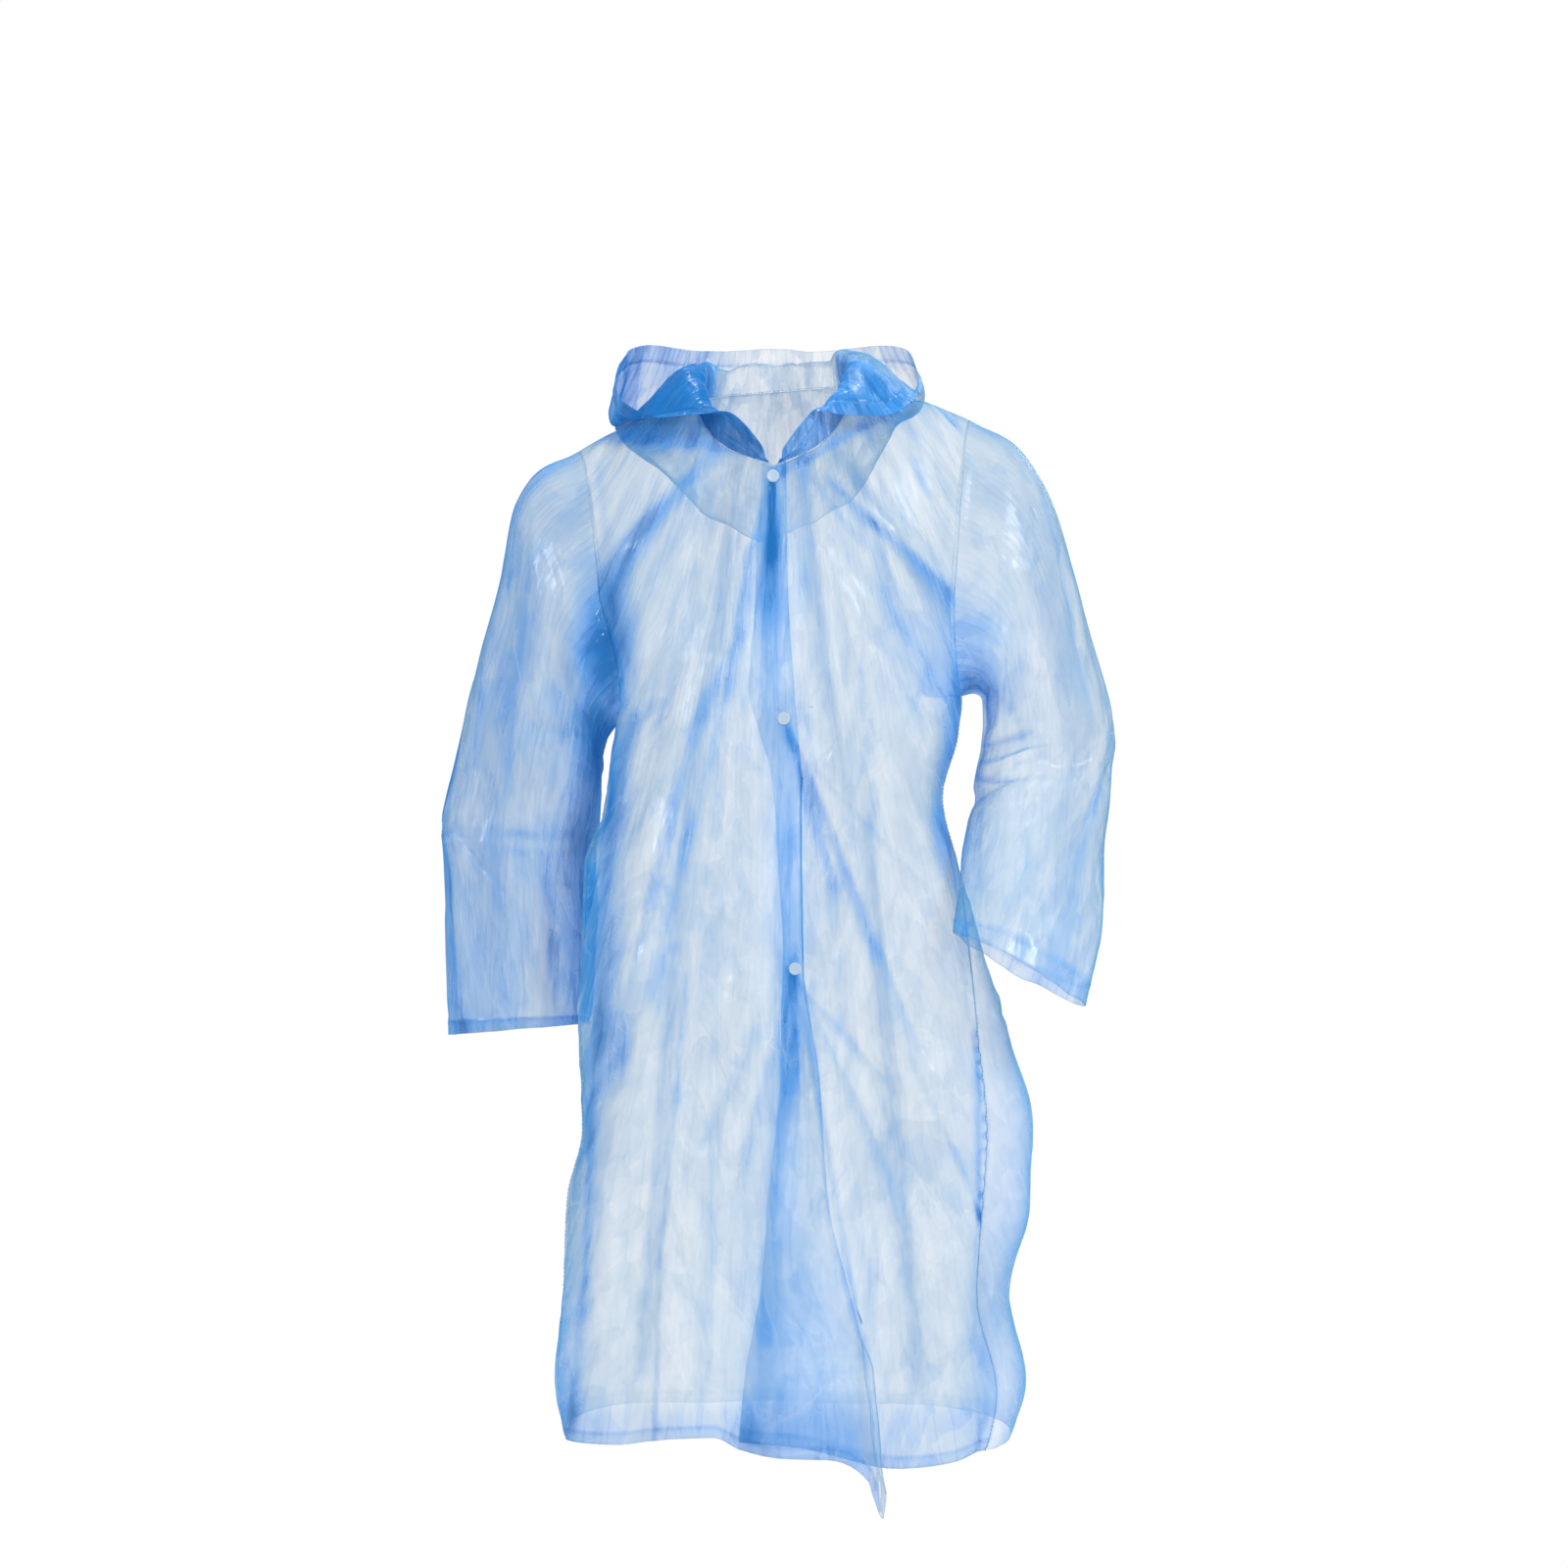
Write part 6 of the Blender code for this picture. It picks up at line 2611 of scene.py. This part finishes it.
@dataclass
class SealedSeams:
    """Heat-sealed seams: a row of small seal marks along each seam line."""

    spacing: float = 0.0042
    width: float = 0.0007
    length: float = 0.0013
    height: float = 0.0006

    least: tuple[float, float, float] = (0.55, 0.6, 0.6)
    most: tuple[float, float, float] = (1.35, 1.4, 1.7)

    def tree(self, material: Material) -> NodeTree:
        """Makes the node tree that sets seal marks along a path.

        Args:
            material: The marks' finish.

        Returns:
            The tree.
        """
        tree = bpy.data.node_groups.new("seal_marks", "GeometryNodeTree")
        face = tree.interface
        face.new_socket("Geometry", in_out="INPUT", socket_type="NodeSocketGeometry")
        for label in ("Spacing", "Width", "Length", "Height"):
            face.new_socket(label, in_out="INPUT", socket_type="NodeSocketFloat")
        face.new_socket("Seed", in_out="INPUT", socket_type="NodeSocketInt")
        face.new_socket("Geometry", in_out="OUTPUT", socket_type="NodeSocketGeometry")
        given = tree.nodes.new("NodeGroupInput").outputs
        path = add_node(
            tree, "GeometryNodeResampleCurve",
            mode="LENGTH", Curve=given["Geometry"], Length=given["Spacing"],
        )
        bead = add_node(tree, "GeometryNodeMeshIcoSphere", Radius=1.0, Subdivisions=2)
        size = add_node(
            tree, "ShaderNodeCombineXYZ", X=given["Width"], Y=given["Height"], Z=given["Length"]
        )
        tangent = tree.nodes.new("GeometryNodeInputTangent")
        turn = add_node(
            tree, "FunctionNodeAlignRotationToVector", axis="Z", Vector=tangent.outputs[0]
        )
        vary = add_node(
            tree, "FunctionNodeRandomValue",
            data_type="FLOAT_VECTOR", Min=self.least, Max=self.most, Seed=given["Seed"],
        )
        place = add_node(
            tree, "GeometryNodeInstanceOnPoints",
            Points=path.outputs[0], Instance=bead.outputs["Mesh"], Rotation=turn.outputs[0],
            Scale=vector_math(tree, "MULTIPLY", size.outputs[0], vary.outputs[0]).outputs[0],
        )
        real = add_node(tree, "GeometryNodeRealizeInstances", Geometry=place.outputs[0])
        paint = add_node(
            tree, "GeometryNodeSetMaterial", Material=material, Geometry=real.outputs[0]
        )
        add_node(tree, "NodeGroupOutput", Geometry=paint.outputs[0])
        return tree

    def build(self, name: str, path: Array, seed: int, tree: NodeTree) -> Object:
        """Makes the marks of one seam.

        Args:
            name: The piece's name.
            path: Points of the seam line.
            seed: Varies the marks.
            tree: The node tree.

        Returns:
            The joined marks, as a plain mesh.
        """
        curve = bpy.data.curves.new(name, "CURVE")
        curve.dimensions = "3D"
        line = curve.splines.new("POLY")
        line.points.add(len(path) - 1)
        flat = np.concatenate([path, np.ones((len(path), 1))], axis=1)
        line.points.foreach_set("co", flat.reshape(-1).astype(np.float32))
        holder = add_object(name, curve)
        modifier = holder.modifiers.new("Marks", "NODES")
        modifier.node_group = tree
        sizes = {
            "Spacing": self.spacing,
            "Width": self.width,
            "Length": self.length,
            "Height": self.height,
            "Seed": seed,
        }
        for item in tree.interface.items_tree:
            if item.item_type == "SOCKET" and item.in_out == "INPUT" and item.name in sizes:
                modifier[item.identifier] = sizes[item.name]
        graph = bpy.context.evaluated_depsgraph_get()
        mesh = bpy.data.meshes.new_from_object(holder.evaluated_get(graph))
        bpy.data.objects.remove(holder)
        mesh.name = name
        mesh.shade_smooth()
        return add_object(name, mesh)


class SnapPart(Enum):
    """The three mouldings of a snap."""

    CAP = "cap"
    SOCKET = "socket"
    BACK = "back"


# Turned outlines of the mouldings, from the axis over the face to the seat, as shares of their
# radius and height
OUTLINES = {
    SnapPart.CAP: (
        (0.00, 0.74), (0.30, 0.74), (0.56, 0.76), (0.64, 0.84), (0.70, 0.96), (0.78, 1.00),
        (0.88, 0.98), (0.95, 0.84), (1.00, 0.50), (0.99, 0.14), (0.94, 0.00), (0.00, 0.00),
    ),
    SnapPart.SOCKET: (
        (0.00, 0.55), (0.30, 0.55), (0.36, 0.90), (0.44, 1.00), (0.56, 0.98), (0.64, 0.80),
        (0.70, 0.40), (0.90, 0.32), (0.99, 0.24), (1.00, 0.08), (0.96, 0.00), (0.00, 0.00),
    ),
    SnapPart.BACK: (
        (0.00, 0.90), (0.22, 0.90), (0.30, 1.00), (0.70, 1.00), (0.88, 0.86), (0.98, 0.55),
        (1.00, 0.25), (0.97, 0.00), (0.00, 0.00),
    ),
}


@dataclass
class Snap:
    """A plastic snap, set where its three solids are."""

    name: str
    steps: int = 48
    sharp_angle: float = 50.0

    def build(self, plastic: Material) -> None:
        """Makes the three mouldings from the seats and axes of their solids.

        Args:
            plastic: Their finish.
        """
        for part in SnapPart:
            node = f"snap_{self.name}_{part.value}"
            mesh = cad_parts[node].data
            points = np.array([vertex.co for vertex in mesh.vertices])
            middle = points.mean(axis=0)
            axis = np.linalg.svd(points - middle)[2][-1]
            out = -1.0 if part is SnapPart.CAP else 1.0
            axis = axis * (out if axis[1] > 0 else -out)
            heights = (points - middle) @ axis
            sideways = points - middle - heights[:, None] * axis
            radius = float(np.linalg.norm(sideways, axis=1).max())
            seat = middle + axis * heights.min()
            height = float(heights.max() - heights.min())
            outline = [(r * radius, z * height) for r, z in OUTLINES[part]]
            self.turn(node, outline, seat, axis, plastic)

    def turn(
        self,
        node: str,
        outline: list[tuple[float, float]],
        seat: Array,
        axis: Array,
        plastic: Material,
    ) -> None:
        """Args:
            node: The solid that the piece stands for.
            outline: Radii and heights, from the axis over the face to the seat.
            seat: Where the axis meets the seat.
            axis: Its direction, out of the face.
            plastic: The finish.
        """
        side = unit(np.cross(axis, [0.0, 0.0, 1.0]))
        other = np.cross(axis, side)
        points = [seat + axis * outline[0][1]]
        for radius, height in outline[1:-1]:
            for i in range(self.steps):
                turn = i / self.steps * 2 * math.pi
                around = side * math.cos(turn) + other * math.sin(turn)
                points.append(seat + axis * height + around * radius)
        points.append(seat + axis * outline[-1][1])
        n = self.steps
        faces = [(0, 1 + i, 1 + (i + 1) % n) for i in range(n)]
        for k in range(len(outline) - 3):
            a, b = 1 + k * n, 1 + (k + 1) * n
            faces += [(a + i, b + i, b + (i + 1) % n, a + (i + 1) % n) for i in range(n)]
        last, base = len(points) - 1, 1 + (len(outline) - 3) * n
        faces += [(last, base + (i + 1) % n, base + i) for i in range(n)]
        mesh = bpy.data.meshes.new(f"{node}_moulding")
        mesh.from_pydata([tuple(p) for p in points], [], faces)
        mesh.materials.append(plastic)
        mesh.shade_smooth()
        mesh.set_sharp_from_angle(angle=math.radians(self.sharp_angle))
        declare(add_object(f"{node}_moulding", mesh), (node,))


class Lamp(NamedTuple):
    """A soft square lamp: where it stands, what it is aimed at, its side and its power."""

    name: str
    place: tuple[float, float, float]
    aim: tuple[float, float, float]
    size: float
    power: float


@dataclass
class Studio:
    """Camera, soft lights, white surround and a pale floor."""

    eye: tuple[float, float, float] = (0.010, -5.0, -0.350)
    lens: float = 112.5
    sensor: float = 36.0
    sight: float = 200.0
    floor_z: float = -1.46
    floor_reach: float = 60.0
    white: float = 1.02
    ambient: float = 0.44
    lamps: tuple[Lamp, ...] = (
        Lamp("key", (2.6, -3.0, 2.0), (0.0, 0.0, -0.4), 0.8, 105.0),
        Lamp("strip", (-3.0, -2.2, 0.5), (0.0, 0.0, -0.5), 0.4, 30.0),
        Lamp("top", (0.3, 0.2, 2.6), (0.0, 0.0, -0.3), 0.6, 36.0),
        Lamp("rim", (1.6, 3.0, 1.0), (0.0, 0.0, -0.5), 0.8, 10.0),
    )

    def camera(self) -> None:
        """The camera, level and square to the front."""
        data = bpy.data.cameras.new("camera")
        data.lens = self.lens
        data.sensor_width = self.sensor
        data.clip_end = self.sight
        camera = add_object("camera", data)
        camera.location = self.eye
        camera.rotation_euler = (math.pi / 2, 0.0, 0.0)
        bpy.context.scene.camera = camera

    def light(self, lamp: Lamp) -> None:
        """Sets up one lamp.

        Args:
            lamp: The lamp.
        """
        data = bpy.data.lights.new(lamp.name, "AREA")
        data.shape = "SQUARE"
        data.size = lamp.size
        data.energy = lamp.power
        light = add_object(lamp.name, data)
        light.location = lamp.place
        ahead = Vector(lamp.aim) - Vector(lamp.place)
        light.rotation_euler = ahead.to_track_quat("-Z", "Y").to_euler()

    def surround(self) -> None:
        """White surround: full for the eye, dimmer as light, so that folds keep their shade."""
        world = bpy.data.worlds.new("surround")
        bpy.context.scene.world = world
        world.use_nodes = True
        tree = world.node_tree
        background = tree.nodes["Background"]
        background.inputs["Color"].default_value = WHITE
        eye = tree.nodes.new("ShaderNodeLightPath").outputs["Is Camera Ray"]
        more = self.white - self.ambient
        strength = math_node(tree, "MULTIPLY_ADD", eye, more, self.ambient)
        wire(tree, strength, background.inputs["Strength"])

    def floor(self) -> None:
        """The floor, a large flat square."""
        mesh = bpy.data.meshes.new("floor")
        r = self.floor_reach
        corners = [(-r, -r), (r, -r), (r, r), (-r, r)]
        mesh.from_pydata([(x, y, self.floor_z) for x, y in corners], [], [(0, 1, 2, 3)])
        mesh.materials.append(FloorFinish().build())
        add_object("floor", mesh)

    def build(self) -> None:
        """Sets up camera, lights, surround and floor."""
        scene = bpy.context.scene
        scene.view_settings.view_transform = "Standard"
        scene.cycles.transparent_max_bounces = 40
        scene.cycles.max_bounces = 5
        scene.cycles.diffuse_bounces = 2
        scene.cycles.glossy_bounces = 2
        self.camera()
        self.surround()
        self.floor()
        for lamp in self.lamps:
            self.light(lamp)


def declare(piece: Object, nodes: Sequence[str]) -> None:
    """Says what a finished piece rides on and stands for, and logs its triangles.

    Args:
        piece: The piece.
        nodes: The solids that it stands for, if any.
    """
    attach(piece, BODY)
    if nodes:
        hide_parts(*nodes)
    triangles = sum(len(face.vertices) - 2 for face in piece.data.polygons)
    LOG.info("%s: %d triangles before its thickness", piece.name, triangles)


def corners(bounds: tuple[Vector, Vector]) -> list[list[float]]:
    """The bounds as plain lists."""
    return [[float(value) for value in corner] for corner in bounds]


def main() -> None:
    """Builds the coat's pieces in order."""
    logging.basicConfig(level=logging.INFO, format="%(name)s: %(message)s")
    Studio().build()
    crumple = CrumpleTexture().build()
    film = FilmPair(
        FilmFinish("coat_film").build(crumple),
        FilmFinish("coat_film_inside", FilmFace.INSIDE).build(crumple),
    )
    sealed = FilmFinish("sealed_film", FilmFace.INSIDE, gathered=0.30).build(crumple)
    plastic = PlasticFinish().build()
    form = CoatForm()
    coat = CoatBody.cut(form, plain=False)
    hood = Hood(form)
    hood.shape(CoatBody.cut(form, plain=True))
    for part in (coat.fronts, coat.back, *coat.sleeves, hood):
        part.build(film)
    seals = SealedSeams()
    tree = seals.tree(sealed)
    armpit = coat.fronts.counts.armpit_row
    paths = {
        "seal_side_right": coat.fronts.sheets["front_right"].grid[armpit:, 0],
        "seal_side_left": coat.fronts.sheets["front_left"].grid[armpit:, -1],
        "seal_neck": hood.sheet.grid[0],
    }
    for seed, (name, path) in enumerate(paths.items()):
        declare(seals.build(name, path, seed + 5, tree), ())
    for name in ("neck", "chest", "waist"):
        Snap(name).build(plastic)


if __name__ == "__main__":
    main()
